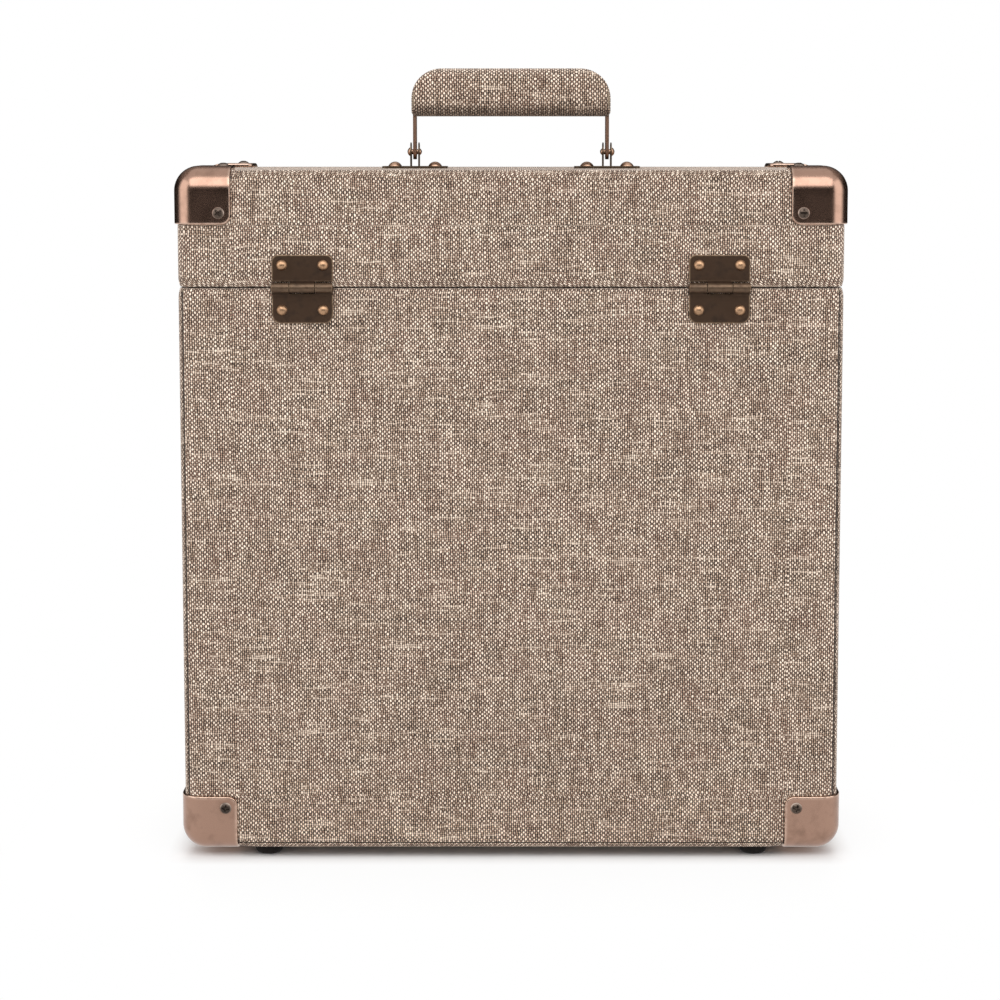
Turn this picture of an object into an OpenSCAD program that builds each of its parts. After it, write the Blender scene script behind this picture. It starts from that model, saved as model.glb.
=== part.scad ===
// Carrying case for long-playing records: a cloth-covered box with a hinged lid,
// a folding grip on top, pressed corner fittings and two snap hasps.
// Millimetres. +Z is up and the floor is Z = 0. The hinges are at -Y and the hasps at +Y.

/* [Case] */
// Width of the case over its cloth
case_w = 351; // [300:1:420]
// Depth of the case over its cloth
case_d = 140; // [110:1:200]
// Height of the base, from its underside to the seam
base_h = 302; // [200:1:360]
// Height of the lid above the seam
lid_h = 61.5; // [52:0.5:110]
// Gap between the rims of the lid and the base
seam_gap = 0.6; // [0.4:0.1:1.2]
// Radius of the four corners of the case, seen from the front, and of the seats of the fittings
corner_r = 11; // [10:0.5:13]
// Radius of the upright edges of the case
side_edge_r = 6; // [3:0.5:8]
// Radius of the level edges of the front and back
edge_r = 2.5; // [1.5:0.1:3]

/* [Walls] */
// Thickness of the cover cloth
cover_t = 1; // [0.7:0.1:1.4]
// Thickness of the boards
board_t = 5; // [4:0.5:8]
// Thickness of the lining paper
lining_t = 0.6; // [0.3:0.1:1]
// Width of the cover that is turned onto the front and back
turned_edge = 2; // [1.6:0.1:4]
// Depth of the cloth sheet let into the front and back of the base
sheet_t = 0.6; // [0.3:0.05:0.65]
// Groove between a let-in sheet and the turned edge
sheet_gap = 0.2; // [0.1:0.05:0.4]

/* [Rim strips] */
// Thickness of the strips inside the rim of the base
strip_t = 3; // [2:0.5:5]
// How far the strips stand above the rim
strip_rise = 7; // [4:0.5:8]
// How far the strips reach down inside the base
strip_drop = 6.5; // [4:0.5:7]
// Clearance between the strips and the lid
strip_clear = 0.8; // [0.6:0.1:1.2]
// Chamfer on the top of the strips
strip_chamfer = 1; // [0.5:0.1:1.2]
// Gap where the strips meet at the corners
strip_joint = 0.3; // [0.1:0.1:1]

/* [Corner fittings] */
// How far a fitting reaches along each face from the cloth's corner
fitting_reach = 28.5; // [24:0.5:34]
// Thickness of the pressed metal
fitting_t = 0.9; // [0.6:0.1:1.2]
// Height of the hollow between the fitting and the cloth
fitting_lift = 1.3; // [1:0.1:1.6]
// How far the ball seat in the case reaches past a fitting
seat_past = 0.5; // [0.3:0.1:2]
// Radius of a flap's free corner
flap_r = 4.8; // [2:0.1:6]
// Width of the rim that rests on the cloth
fitting_rim = 1.1; // [0.8:0.1:1.6]
// Distance of a screw from a flap's free edges
screw_in = 6.1; // [5:0.1:9]
// Diameter of a fitting screw's shank
screw_d = 2.6; // [2:0.1:3]
// Diameter of a fitting screw's head
screw_head_d = 6.4; // [5:0.1:8]
// Height of a fitting screw's head
screw_head_h = 1.6; // [1:0.1:2]
// Length of a fitting screw under its head
screw_length = 7; // [5:0.1:7.2]

/* [Lid hinges] */
// Distance of the middle of each hinge from the side of the case
hinge_in = 66; // [50:0.5:80]
// Width of a hinge
hinge_w = 32; // [28:0.5:40]
// Height of the upper leaf above the hinge axis
upper_leaf_h = 17.2; // [15.5:0.1:22]
// Height of the lower leaf below the hinge axis
lower_leaf_h = 18.8; // [16:0.1:24]
// Thickness of the leaves
leaf_t = 1.2; // [0.9:0.1:1.5]
// Diameter of the knuckles
knuckle_d = 5.2; // [4.6:0.1:6]
// Width of the middle knuckle and of the tongue that carries it
middle_knuckle_w = 13; // [10:0.5:15]
// Gap between neighbouring knuckles
knuckle_gap = 0.35; // [0.3:0.05:0.6]
// Gap between the knuckles and the cloth
barrel_lift = 0.35; // [0.3:0.05:0.6]
// Gap between the knuckles and the edges of the leaves
leaf_gap = 0.6; // [0.35:0.05:1]
// Radius of the upper leaf's corners
upper_leaf_r = 3.5; // [2:0.5:5]
// Radius of the lower leaf's corners
lower_leaf_r = 4.7; // [2:0.1:6]
// Diameter of the hinge pins
hinge_pin_d = 2.4; // [2:0.1:2.8]
// How far the hinge pins stand out of the knuckles
hinge_pin_proud = 0.5; // [0.2:0.1:1.5]
// Distance of the rivets from the middle of the hinge
hinge_rivet_x = 10.8; // [9:0.1:11.5]
// Distance of the rivets from the hinge axis
hinge_rivet_z = 11.8; // [11:0.1:12.5]
// Diameter of the domed heads of the hinge rivets
hinge_dome_d = 5.7; // [4:0.1:6.2]

/* [Rivets] */
// Diameter of the shanks of the hinge and hasp rivets
rivet_d = 2.4; // [2:0.1:2.8]
// Height of a rivet's dome as a share of its diameter
dome_rise = 0.33; // [0.25:0.01:0.4]
// Diameter of the clinched tails inside the case
tail_d = 4.6; // [4:0.1:5]
// Thickness of the clinched tails
tail_t = 0.8; // [0.5:0.1:1]

/* [Handle] */
// Distance of each handle bracket from the middle of the case
bracket_x = 52.95; // [45:0.05:75]
// Width of a bracket plate
bracket_w = 36; // [32:0.5:44]
// Depth of a bracket plate
bracket_d = 14; // [12:0.5:20]
// Thickness of a bracket plate
bracket_t = 1.2; // [0.8:0.1:1.5]
// Radius of a bracket plate's corners
bracket_r = 3; // [1.5:0.5:5]
// Height of the handle's pivot above the lid
pivot_h = 9.1; // [8:0.1:12]
// Radius of the rounded top of an ear
ear_r = 5.1; // [4:0.1:6]
// Thickness of an ear
ear_t = 0.7; // [0.6:0.1:1.2]
// Gap between the strap and each ear
ear_gap = 0.9; // [0.4:0.05:1.2]
// Distance of the bracket rivets from the middle of the bracket
bracket_rivet_x = 11.05; // [9.5:0.05:13]
// Diameter of the domed heads of the bracket rivets
bracket_dome_d = 7.6; // [6:0.1:9]
// Diameter of the shanks of the bracket rivets
bracket_rivet_d = 3; // [2:0.1:3.6]
// Diameter of the handle's pins
handle_pin_d = 2.9; // [2.4:0.1:3.6]
// Diameter of the outer head of a handle pin
pin_head_d = 5; // [4.2:0.1:6]
// Diameter of the inner head of a handle pin
pin_tail_d = 3.8; // [3.8:0.1:5]
// Thickness of the strap
strap_t = 1.9; // [1.4:0.1:2.5]
// Width of the strap, across the grip
strap_w = 8.4; // [7:0.1:10]
// Height of the strap's bar above the underside of the grip
strap_bar_h = 14; // [10:0.5:18]
// Radius of the bends in the strap
strap_bend_r = 5; // [3:0.5:7]

/* [Grip] */
// Height of the grip's underside above the pivot
grip_above = 19.4; // [18:0.1:30]
// Height of the grip
grip_h = 26.2; // [22:0.1:32]
// Thickness of the grip
grip_t = 21; // [18:0.5:22]
// Radius of the grip's two upper corners
grip_corner_r = 17; // [10:0.5:20]
// Radius of the grip's long edges
grip_edge_r = 8; // [5:0.5:8.5]
// Thickness of the cloth round the grip
grip_cloth_t = 0.7; // [0.5:0.1:1]

/* [Hasps] */
// Distance of the middle of each hasp from the side of the case
hasp_in = 69; // [54:1:90]
// Height of the hasp's axis above the seam
hasp_rise = 6.5; // [6:0.1:10]
// Width of the hasp plate on the lid
hasp_plate_w = 26; // [24:0.5:34]
// Height of the hasp plate's top edge above the hasp's axis
hasp_plate_h = 18; // [17:0.5:24]
// Width of a hasp
hasp_w = 16; // [15:0.5:17]
// Length of a hasp from its axis to the middle of its rolled end
hasp_l = 30; // [28:0.5:36]
// Thickness of the plates and of the hasp
plate_t = 1.1; // [0.9:0.05:1.3]
// Diameter of the hasp's knuckles
hasp_knuckle_d = 4.4; // [4.2:0.1:5]
// Diameter of the hasp's pins
hasp_pin_d = 1.9; // [1.6:0.1:2]
// Radius of the rolled end of a hasp
roll_r = 1.7; // [1.3:0.1:2.5]
// Lean of an unlatched hasp out of the vertical, in degrees
hasp_lean = 8; // [8:0.5:14]
// Distance of the catch's nose below the hasp's axis
nose_drop = 20; // [19:0.1:21]
// Width of the catch's nose
nose_w = 7; // [5:0.5:8]
// Height of the catch's nose
nose_h = 3.6; // [2.5:0.1:4]
// Reach of the catch's nose from the cloth
nose_reach = 6.2; // [5.6:0.1:6.3]
// Clearance at the sides of the nose in the hasp's window
window_side_clear = 1.5; // [1:0.1:2]
// Clearance above and below the nose in the hasp's window
window_clear = 1.4; // [1.2:0.1:1.6]
// Width of a catch plate
catch_w = 30; // [29:0.5:36]
// Height of a catch plate
catch_h = 14; // [8:0.5:14]
// Distance of the rivets from the middle of a catch
catch_rivet_x = 11.5; // [11.4:0.1:12]
// Distance of the rivets from the middle of a hasp plate
hasp_rivet_x = 8; // [4:0.1:9.5]
// Height of the hasp plate's rivets above the hasp's axis
hasp_rivet_z = 12; // [10:0.1:14]
// Diameter of the domed heads of the hasp and catch rivets
small_dome_d = 4.6; // [3.6:0.1:5]
// Radius of the corners of the hasp and catch plates
plate_r = 2.5; // [1:0.5:4]

/* [Feet] */
// Height of the rubber feet
foot_h = 6; // [5:0.1:9]
// Diameter of the feet
foot_d = 15; // [12:0.5:20]
// Radius of the lower edge of a foot
foot_edge_r = 2.4; // [1:0.1:2.6]
// Gap between a foot and the corner fitting beside it
foot_clear = 8; // [1:0.5:40]
// Distance of the middle of a foot from the front or the back of the case
foot_in = 14; // [13:0.5:30]
// Diameter of a foot screw's shank
foot_screw_d = 2.4; // [2:0.1:3]
// Diameter of a foot screw's head
foot_screw_head_d = 4.8; // [4:0.1:5.4]
// Height of a foot screw's head
foot_screw_head_h = 1.2; // [0.8:0.1:1.6]
// How deep a foot screw's head lies in the foot
foot_screw_sunk = 0.5; // [0.3:0.1:0.8]

/* [Fits] */
// Radial clearance of a pin in the eye that turns on it
running_fit = 0.06; // [0.02:0.01:0.09]
// Radial clearance of a shank in the hole that it is fixed in
fixed_fit = 0.02; // [0.01:0.01:0.05]

/* [Hidden] */
$fn = 64;

cloth = "#b8a48e";
copper = "#a06a50";
bronze = "#4c3929";
board = "#8b7b66";
paper = "#2f2a27";
steel = "#8e8c88";
rubber = "#1d1c1b";

// Levels above the floor
case_bottom = foot_h;
seam_z = case_bottom + base_h;
case_top = seam_z + lid_h;
case_h = base_h + lid_h;
base_top = seam_z - seam_gap / 2;
lid_bottom = seam_z + seam_gap / 2;
hasp_z = seam_z + hasp_rise;
pivot_z = case_top + pivot_h;

// The wall, from the cloth's face to the lining's face, and the space inside it
wall = cover_t + board_t + lining_t;
inner_w = case_w - 2 * wall;
inner_d = case_d - 2 * wall;

// The hinge axis and the hasp axis stand off the cloth by these
hinge_off = barrel_lift + knuckle_d / 2;
hasp_off = barrel_lift + hasp_knuckle_d / 2;
front = case_d / 2;

// Distances of the hinges, the hasps and the feet from the middle of the case
hinge_x = case_w / 2 - hinge_in;
hasp_x = case_w / 2 - hasp_in;
foot_x = case_w / 2 - fitting_reach - foot_clear - foot_d / 2;
foot_y = front - foot_in;

// The case stands so that the middle of its box, over the hinges and the hasps, is at Y = 0
roll_n = hasp_knuckle_d / 2 - plate_t + roll_r;
hasp_front = front + hasp_off + hasp_l * sin(hasp_lean) + roll_n * cos(hasp_lean) + roll_r;
hinge_back = front + hinge_off + knuckle_d / 2;
shift_y = (hinge_back - hasp_front) / 2;

bore_d = handle_pin_d + 2 * running_fit;
grip_l = 2 * (bracket_x + strap_t / 2 + grip_cloth_t);
past = 1;

// A piece drawn round the middle of the case, set into the frame of the whole object
module in_frame() translate([0, shift_y, 0]) children();

// A block between two corners
module block(low, high) translate(low) cube(high - low);

// A flat outline with round corners, centred
module round_rect(w, h, r) {
  square([w - 2 * r, h], center = true);
  square([w, h - 2 * r], center = true);
  for (x = [-1, 1], y = [-1, 1])
    translate([x * (w / 2 - r), y * (h / 2 - r)]) circle(r);
}

// Places at the middle of the case, and the lower back left corner mirrored to the others
module to_middle() translate([0, 0, case_bottom + case_h / 2]) children();
module to_corner(x, y, up)
  mirror([x > 0 ? 1 : 0, 0, 0]) mirror([0, y > 0 ? 1 : 0, 0]) mirror([0, 0, up > 0 ? 1 : 0])
    translate([-case_w / 2, -front, -case_h / 2]) children();

// A square from the origin with its corner there rounded
module rounded_start(size, r) {
  translate([r, 0]) square([size - r, size]);
  translate([0, r]) square([size, size - r]);
  translate([r, r]) circle(r);
}
// A corner of the case with its three edges and its point rounded alike, moved out by grow
module ball_corner(grow) translate([-grow, -grow, -grow]) {
  r = corner_r + grow;
  size = fitting_reach + 2 * corner_r;
  translate([r, 0, 0]) rotate([90, 0, 90]) linear_extrude(size) rounded_start(size, r);
  translate([0, r, 0]) mirror([0, 1, 0]) rotate([90, 0, 0])
    linear_extrude(size) rounded_start(size, r);
  translate([r, r, 0]) rotate_extrude() {
    translate([0, r]) square([r, size]);
    intersection() {
      translate([0, r]) circle(r);
      square([r, size]);
    }
  }
}
// What is taken off a corner of the case to seat a fitting
module seat_cut(grow) difference() {
  block(-[1, 1, 1] * past, [1, 1, 1] * (fitting_reach + seat_past));
  ball_corner(grow);
}

// The whole case with its lid shut, grown outward by grow, with its lower or upper seats cut
module envelope(grow, up) to_middle() rotate([up > 0 ? 180 : 0, 0, 0]) difference() {
  w = case_w + 2 * grow;
  d = case_d + 2 * grow;
  h = case_h + 2 * grow;
  intersection() {
    rotate([90, 0, 90]) linear_extrude(w + past, center = true) round_rect(d, h, edge_r + grow);
    rotate([90, 0, 0]) linear_extrude(d + past, center = true) round_rect(w, h, corner_r + grow);
    linear_extrude(h + past, center = true) round_rect(w, d, side_edge_r + grow);
  }
  for (x = [-1, 1], y = [-1, 1]) to_corner(x, y, -1) seat_cut(grow);
}
module cloth_body(up) envelope(0, up);
module board_body(up) envelope(-cover_t, up);

// The slice of the case between two heights
module between(z0, z1) block([-case_w, -case_d, z0], [case_w, case_d, z1]);

// The space inside the lining, between two heights
module inside(z0, z1) inside_wall(0, z0, z1);
module inside_wall(grow, z0, z1)
  block([-inner_w / 2 - grow, -inner_d / 2 - grow, z0], [inner_w / 2 + grow, inner_d / 2 + grow, z1]);

// The six faces of the case: children stand on a face at (a, b), with +Z out of it
module on_back(x, z) translate([x, -front, z]) rotate([90, 0, 0]) children();
module on_front(x, z) translate([x, front, z]) rotate([-90, 0, 0]) children();
module on_side(side, y, z) translate([side * case_w / 2, y, z]) rotate([0, side * 90, 0]) children();
module on_top(x, y) translate([x, y, case_top]) children();
module on_bottom(x, y) translate([x, y, case_bottom]) rotate([180, 0, 0]) children();

// Places of the fasteners
module at_hinge_rivets(up) for (side = [-1, 1], x = [-1, 1])
  on_back(side * hinge_x + x * hinge_rivet_x, seam_z + up * hinge_rivet_z) children();
module at_catch_rivets() for (side = [-1, 1], x = [-1, 1])
  on_front(side * hasp_x + x * catch_rivet_x, hasp_z - nose_drop) children();
module at_hasp_rivets() for (side = [-1, 1], x = [-1, 1])
  on_front(side * hasp_x + x * hasp_rivet_x, hasp_z + hasp_rivet_z) children();
module at_bracket_rivets() for (side = [-1, 1], x = [-1, 1])
  on_top(side * bracket_x + x * bracket_rivet_x, 0) children();
module at_feet() for (x = [-1, 1], y = [-1, 1]) on_bottom(x * foot_x, y * foot_y) children();
module at_corner_screws(up) {
  p = fitting_reach - screw_in;
  z = up > 0 ? case_top - p : case_bottom + p;
  for (x = [-1, 1], y = [-1, 1]) {
    if (y < 0) on_back(x * (case_w / 2 - p), z) children();
    if (y > 0) on_front(x * (case_w / 2 - p), z) children();
    on_side(x, y * (case_d / 2 - p), z) children();
    if (up > 0) on_top(x * (case_w / 2 - p), y * (case_d / 2 - p)) children();
    if (up < 0) on_bottom(x * (case_w / 2 - p), y * (case_d / 2 - p)) children();
  }
}

// A hole from above the face down through the whole wall
module drill(d, above) translate([0, 0, -wall - past])
  cylinder(d = d + 2 * fixed_fit, h = wall + above + 2 * past);

// A spherical cap that stands on Z = 0
module dome(d) {
  h = d * dome_rise;
  r = (d * d / 4 + h * h) / (2 * h);
  intersection() {
    translate([0, 0, h - r]) sphere(r);
    translate([0, 0, h / 2]) cube([d + past, d + past, h], center = true);
  }
}

// A domed rivet through a plate of thickness t and the wall, clinched on the lining
module rivet(dome_d, shank_d, t) {
  translate([0, 0, t]) dome(dome_d);
  translate([0, 0, -wall]) cylinder(d = shank_d, h = wall + t);
  translate([0, 0, -wall - tail_t]) cylinder(d = tail_d, h = tail_t);
}

// A pan-headed screw with its head on a plate of thickness t
module corner_screw(t) {
  translate([0, 0, t]) dome_head(screw_head_d, screw_head_h);
  translate([0, 0, t - screw_length]) cylinder(d = screw_d, h = screw_length);
}

// A low head with a cross recess
module dome_head(d, h) difference() {
  r = (d * d / 4 + h * h) / (2 * h);
  intersection() {
    translate([0, 0, h - r]) sphere(r);
    translate([0, 0, h / 2]) cube([d + past, d + past, h], center = true);
  }
  for (a = [0, 90]) rotate(a) translate([0, 0, h]) cube([d * 0.55, d * 0.14, h * 1.1], center = true);
}

// Boards of the base
module base_wide_panel(y) difference() {
  intersection() {
    board_body(-1);
    between(case_bottom, base_top - cover_t);
    block([-case_w, y - board_t / 2, 0], [case_w, y + board_t / 2, case_top]);
  }
  at_hinge_rivets(-1) drill(rivet_d, leaf_t);
  at_catch_rivets() drill(rivet_d, plate_t);
  at_corner_screws(-1) drill(screw_d, fitting_t);
}
module base_back_panel() in_frame() color(board) base_wide_panel(-front + cover_t + board_t / 2);
module base_front_panel() in_frame() color(board) base_wide_panel(front - cover_t - board_t / 2);
module side_panel(side, z0, z1, up) difference() {
  intersection() {
    board_body(up);
    between(z0, z1);
    block([side > 0 ? case_w / 2 - cover_t - board_t : -case_w, -front + cover_t + board_t, 0],
      [side > 0 ? case_w : -case_w / 2 + cover_t + board_t, front - cover_t - board_t, case_top]);
  }
  at_corner_screws(up) drill(screw_d, fitting_t);
}
module base_left_panel() in_frame() color(board)
  side_panel(-1, case_bottom + cover_t + board_t, base_top - cover_t, -1);
module base_right_panel() in_frame() color(board)
  side_panel(1, case_bottom + cover_t + board_t, base_top - cover_t, -1);
module base_bottom_panel() in_frame() color(board) difference() {
  intersection() {
    board_body(-1);
    between(case_bottom, case_bottom + cover_t + board_t);
    block([-case_w, -front + cover_t + board_t, 0], [case_w, front - cover_t - board_t, case_top]);
  }
  at_corner_screws(-1) drill(screw_d, fitting_t);
  at_feet() drill(foot_screw_d, foot_h);
}

// Cover cloth of the base: the skin, turned over the rim down to the lining
module base_holes() {
  at_hinge_rivets(-1) drill(rivet_d, leaf_t);
  at_catch_rivets() drill(rivet_d, plate_t);
  at_corner_screws(-1) drill(screw_d, fitting_t);
  at_feet() drill(foot_screw_d, foot_h);
}
module base_cover() in_frame() color(cloth) difference() {
  intersection() {
    union() {
      difference() {
        cloth_body(-1);
        for (y = [-1, 1]) sheet_zone(y, 0);
      }
      envelope(-sheet_t, -1);
    }
    between(case_bottom - past, base_top);
  }
  intersection() {
    board_body(-1);
    between(case_bottom, base_top - cover_t);
  }
  inside(base_top - 2 * cover_t, base_top + past);
  base_holes();
}
// The outline of a let-in sheet, on the front or the back, with its edges drawn in
module sheet_zone(y, drawn_in) {
  w = case_w - 2 * (turned_edge + drawn_in);
  r = corner_r - turned_edge - drawn_in;
  z0 = case_bottom + turned_edge + drawn_in;
  translate([0, y * (front - corner_r / 2 + past / 2), 0]) rotate([90, 0, 0])
    linear_extrude(corner_r + past, center = true) {
      translate([-w / 2, z0 + r]) square([w, base_top - z0 - r + (drawn_in > 0 ? 0 : past)]);
      translate([-w / 2 + r, z0]) square([w - 2 * r, r]);
      for (x = [-1, 1]) translate([x * (w / 2 - r), z0 + r]) circle(r);
    }
}
module let_in_sheet(y) color(cloth) difference() {
  intersection() {
    cloth_body(-1);
    sheet_zone(y, sheet_gap);
  }
  envelope(-sheet_t, -1);
  base_holes();
}
module base_back_sheet() in_frame() let_in_sheet(-1);
module base_front_sheet() in_frame() let_in_sheet(1);

// Lining of the base: a paper tray
module base_lining() in_frame() color(paper) difference() {
  inside_wall(lining_t, case_bottom + cover_t + board_t, base_top - cover_t);
  inside(case_bottom + wall, base_top);
  at_hinge_rivets(-1) drill(rivet_d, leaf_t);
  at_catch_rivets() drill(rivet_d, plate_t);
}

// Strips glued inside the rim of the base, which guide the lid as it shuts
module strip_profile() polygon([
  [0, -strip_drop], [strip_t, -strip_drop], [strip_t, strip_rise],
  [strip_clear + strip_chamfer, strip_rise], [strip_clear, strip_rise - strip_chamfer],
  [strip_clear, seam_gap], [0, 0]
]);
module rim_strips() in_frame() color(paper) for (a = [0, 180])
  rotate(a) translate([0, 0, base_top]) {
    long = inner_w - 2 * strip_clear;
    short = inner_d - 2 * (strip_t + strip_joint);
    translate([-long / 2, -inner_d / 2, 0]) rotate([90, 0, 90]) linear_extrude(long) strip_profile();
    translate([-inner_w / 2, short / 2, 0]) rotate([90, 0, 0]) linear_extrude(short) strip_profile();
  }

// Pressed corner fittings, drawn at the lower back left corner and mirrored to the others
module flap(reach) {
  out = 10;
  translate([-out, -out]) {
    square([out + reach, out + reach - flap_r]);
    square([out + reach - flap_r, out + reach]);
  }
  translate([reach - flap_r, reach - flap_r]) circle(flap_r);
}
module flaps(reach) {
  deep = corner_r + fitting_lift + fitting_t + 2 * past;
  low = -fitting_lift - fitting_t - past;
  translate([0, 0, low]) linear_extrude(deep) flap(reach);
  translate([0, low + deep, 0]) rotate([90, 0, 0]) linear_extrude(deep) flap(reach);
  translate([low, 0, 0]) rotate([90, 0, 90]) linear_extrude(deep) flap(reach);
}
module corner_fitting(x, y, up) color(copper) difference() {
  to_middle() to_corner(x, y, up) difference() {
    intersection() {
      ball_corner(fitting_lift + fitting_t);
      flaps(fitting_reach);
    }
    ball_corner(0);
    intersection() {
      ball_corner(fitting_lift);
      flaps(fitting_reach - fitting_rim);
    }
  }
  at_corner_screws(up) drill(screw_d, fitting_lift + fitting_t);
}
module corner_base_back_left() in_frame() corner_fitting(-1, -1, -1);
module corner_base_back_right() in_frame() corner_fitting(1, -1, -1);
module corner_base_front_left() in_frame() corner_fitting(-1, 1, -1);
module corner_base_front_right() in_frame() corner_fitting(1, 1, -1);
module corner_lid_back_left() in_frame() corner_fitting(-1, -1, 1);
module corner_lid_back_right() in_frame() corner_fitting(1, -1, 1);
module corner_lid_front_left() in_frame() corner_fitting(-1, 1, 1);
module corner_lid_front_right() in_frame() corner_fitting(1, 1, 1);
module base_corner_screws() in_frame() color(copper)
  at_corner_screws(-1) corner_screw(fitting_lift + fitting_t);
module lid_corner_screws() in_frame() color(copper)
  at_corner_screws(1) corner_screw(fitting_lift + fitting_t);

// Lid hinges, drawn round their axis: the cloth is at Y = hinge_off
module at_hinge(side) translate([side * hinge_x, -front - hinge_off, seam_z]) children();
module along_x(d, x0, x1) translate([x0, 0, 0]) rotate([0, 90, 0]) cylinder(d = d, h = x1 - x0);
module leaf_plate(w, z0, z1, r, t, off) translate([0, off, 0]) rotate([90, 0, 0])
  linear_extrude(t) {
    translate([-w / 2, z0]) square([w, z1 - z0 - r]);
    translate([-w / 2 + r, z0]) square([w - 2 * r, z1 - z0]);
    for (x = [-1, 1]) translate([x * (w / 2 - r), z1 - r]) circle(r);
  }
// The tab that joins a plate to a knuckle, from the knuckle's middle up to the plate
module tab(x0, x1, z1, t, off) block([x0, off - t, 0.25 * z1], [x1, off, z1 + past]);
plate_start = knuckle_d / 2 + leaf_gap;
outer_knuckle_x = middle_knuckle_w / 2 + knuckle_gap;
module lower_leaf(side) color(bronze) difference() {
  at_hinge(side) difference() {
    union() {
      mirror([0, 0, 1])
        leaf_plate(hinge_w, plate_start, lower_leaf_h, lower_leaf_r, leaf_t, hinge_off);
      for (x = [0, 1]) mirror([x, 0, 0]) {
        along_x(knuckle_d, outer_knuckle_x, hinge_w / 2);
        mirror([0, 0, 1]) tab(outer_knuckle_x, hinge_w / 2, plate_start, leaf_t, hinge_off);
      }
    }
    along_x(hinge_pin_d + 2 * fixed_fit, -hinge_w, hinge_w);
  }
  at_hinge_rivets(-1) drill(rivet_d, leaf_t);
}
module upper_leaf(side) color(bronze) difference() {
  at_hinge(side) difference() {
    union() {
      leaf_plate(hinge_w, plate_start, upper_leaf_h, upper_leaf_r, leaf_t, hinge_off);
      along_x(knuckle_d, -middle_knuckle_w / 2, middle_knuckle_w / 2);
      tab(-middle_knuckle_w / 2, middle_knuckle_w / 2, plate_start, leaf_t, hinge_off);
    }
    along_x(hinge_pin_d + 2 * running_fit, -hinge_w, hinge_w);
  }
  at_hinge_rivets(1) drill(rivet_d, leaf_t);
}
module hinge_pin(side) color(bronze) at_hinge(side)
  along_x(hinge_pin_d, -hinge_w / 2 - hinge_pin_proud, hinge_w / 2 + hinge_pin_proud);
module hinge_left_lower_leaf() in_frame() lower_leaf(-1);
module hinge_right_lower_leaf() in_frame() lower_leaf(1);
module hinge_left_upper_leaf() in_frame() upper_leaf(-1);
module hinge_right_upper_leaf() in_frame() upper_leaf(1);
module hinge_left_pin() in_frame() hinge_pin(-1);
module hinge_right_pin() in_frame() hinge_pin(1);
module base_hinge_rivets() in_frame() color(copper)
  at_hinge_rivets(-1) rivet(hinge_dome_d, rivet_d, leaf_t);
module lid_hinge_rivets() in_frame() color(copper)
  at_hinge_rivets(1) rivet(hinge_dome_d, rivet_d, leaf_t);

// Catches on the base: a plate with a round-tipped nose
module catch(side) color(bronze) difference() {
  on_front(side * hasp_x, hasp_z - nose_drop) {
    linear_extrude(plate_t) round_rect(catch_w, catch_h, plate_r);
    translate([-nose_w / 2, -nose_h / 2, 0]) cube([nose_w, nose_h, nose_reach - nose_h / 2]);
    translate([0, 0, nose_reach - nose_h / 2]) along_x(nose_h, -nose_w / 2, nose_w / 2);
  }
  at_catch_rivets() drill(rivet_d, plate_t);
}
module catch_left() in_frame() catch(-1);
module catch_right() in_frame() catch(1);
module catch_rivets() in_frame() color(copper)
  at_catch_rivets() rivet(small_dome_d, rivet_d, plate_t);

// Rubber feet, each held by a sunk screw
module feet() in_frame() color(rubber) at_feet() difference() {
  rotate_extrude() intersection() {
    square([foot_d / 2, foot_h]);
    union() {
      square([foot_d / 2 - foot_edge_r, foot_h]);
      square([foot_d / 2, foot_h - foot_edge_r]);
      translate([foot_d / 2 - foot_edge_r, foot_h - foot_edge_r]) circle(foot_edge_r);
    }
  }
  translate([0, 0, -past]) cylinder(d = foot_screw_d + 2 * fixed_fit, h = foot_h + 2 * past);
  translate([0, 0, foot_h - foot_screw_sunk - foot_screw_head_h])
    cylinder(d = foot_screw_head_d + 2 * fixed_fit, h = foot_h);
}
module foot_screws() in_frame() color(steel) at_feet() {
  translate([0, 0, foot_h - foot_screw_sunk - foot_screw_head_h])
    cylinder(d = foot_screw_head_d, h = foot_screw_head_h);
  translate([0, 0, 1 - cover_t - board_t])
    cylinder(d = foot_screw_d, h = board_t + cover_t + foot_h - 1 - foot_screw_sunk - foot_screw_head_h);
}

// Boards of the lid
lid_ceiling = case_top - wall;
module lid_wide_panel(y) difference() {
  intersection() {
    board_body(1);
    between(lid_bottom + cover_t, case_top);
    block([-case_w, y - board_t / 2, 0], [case_w, y + board_t / 2, case_top]);
  }
  at_hinge_rivets(1) drill(rivet_d, leaf_t);
  at_hasp_rivets() drill(rivet_d, plate_t);
  at_corner_screws(1) drill(screw_d, fitting_t);
}
module lid_back_panel() in_frame() color(board) lid_wide_panel(-front + cover_t + board_t / 2);
module lid_front_panel() in_frame() color(board) lid_wide_panel(front - cover_t - board_t / 2);
module lid_left_panel() in_frame() color(board)
  side_panel(-1, lid_bottom + cover_t, case_top - cover_t - board_t, 1);
module lid_right_panel() in_frame() color(board)
  side_panel(1, lid_bottom + cover_t, case_top - cover_t - board_t, 1);
module lid_top_panel() in_frame() color(board) difference() {
  intersection() {
    board_body(1);
    between(case_top - cover_t - board_t, case_top);
    block([-case_w, -front + cover_t + board_t, 0], [case_w, front - cover_t - board_t, case_top]);
  }
  at_corner_screws(1) drill(screw_d, fitting_t);
  at_bracket_rivets() drill(bracket_rivet_d, bracket_t);
}

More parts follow.
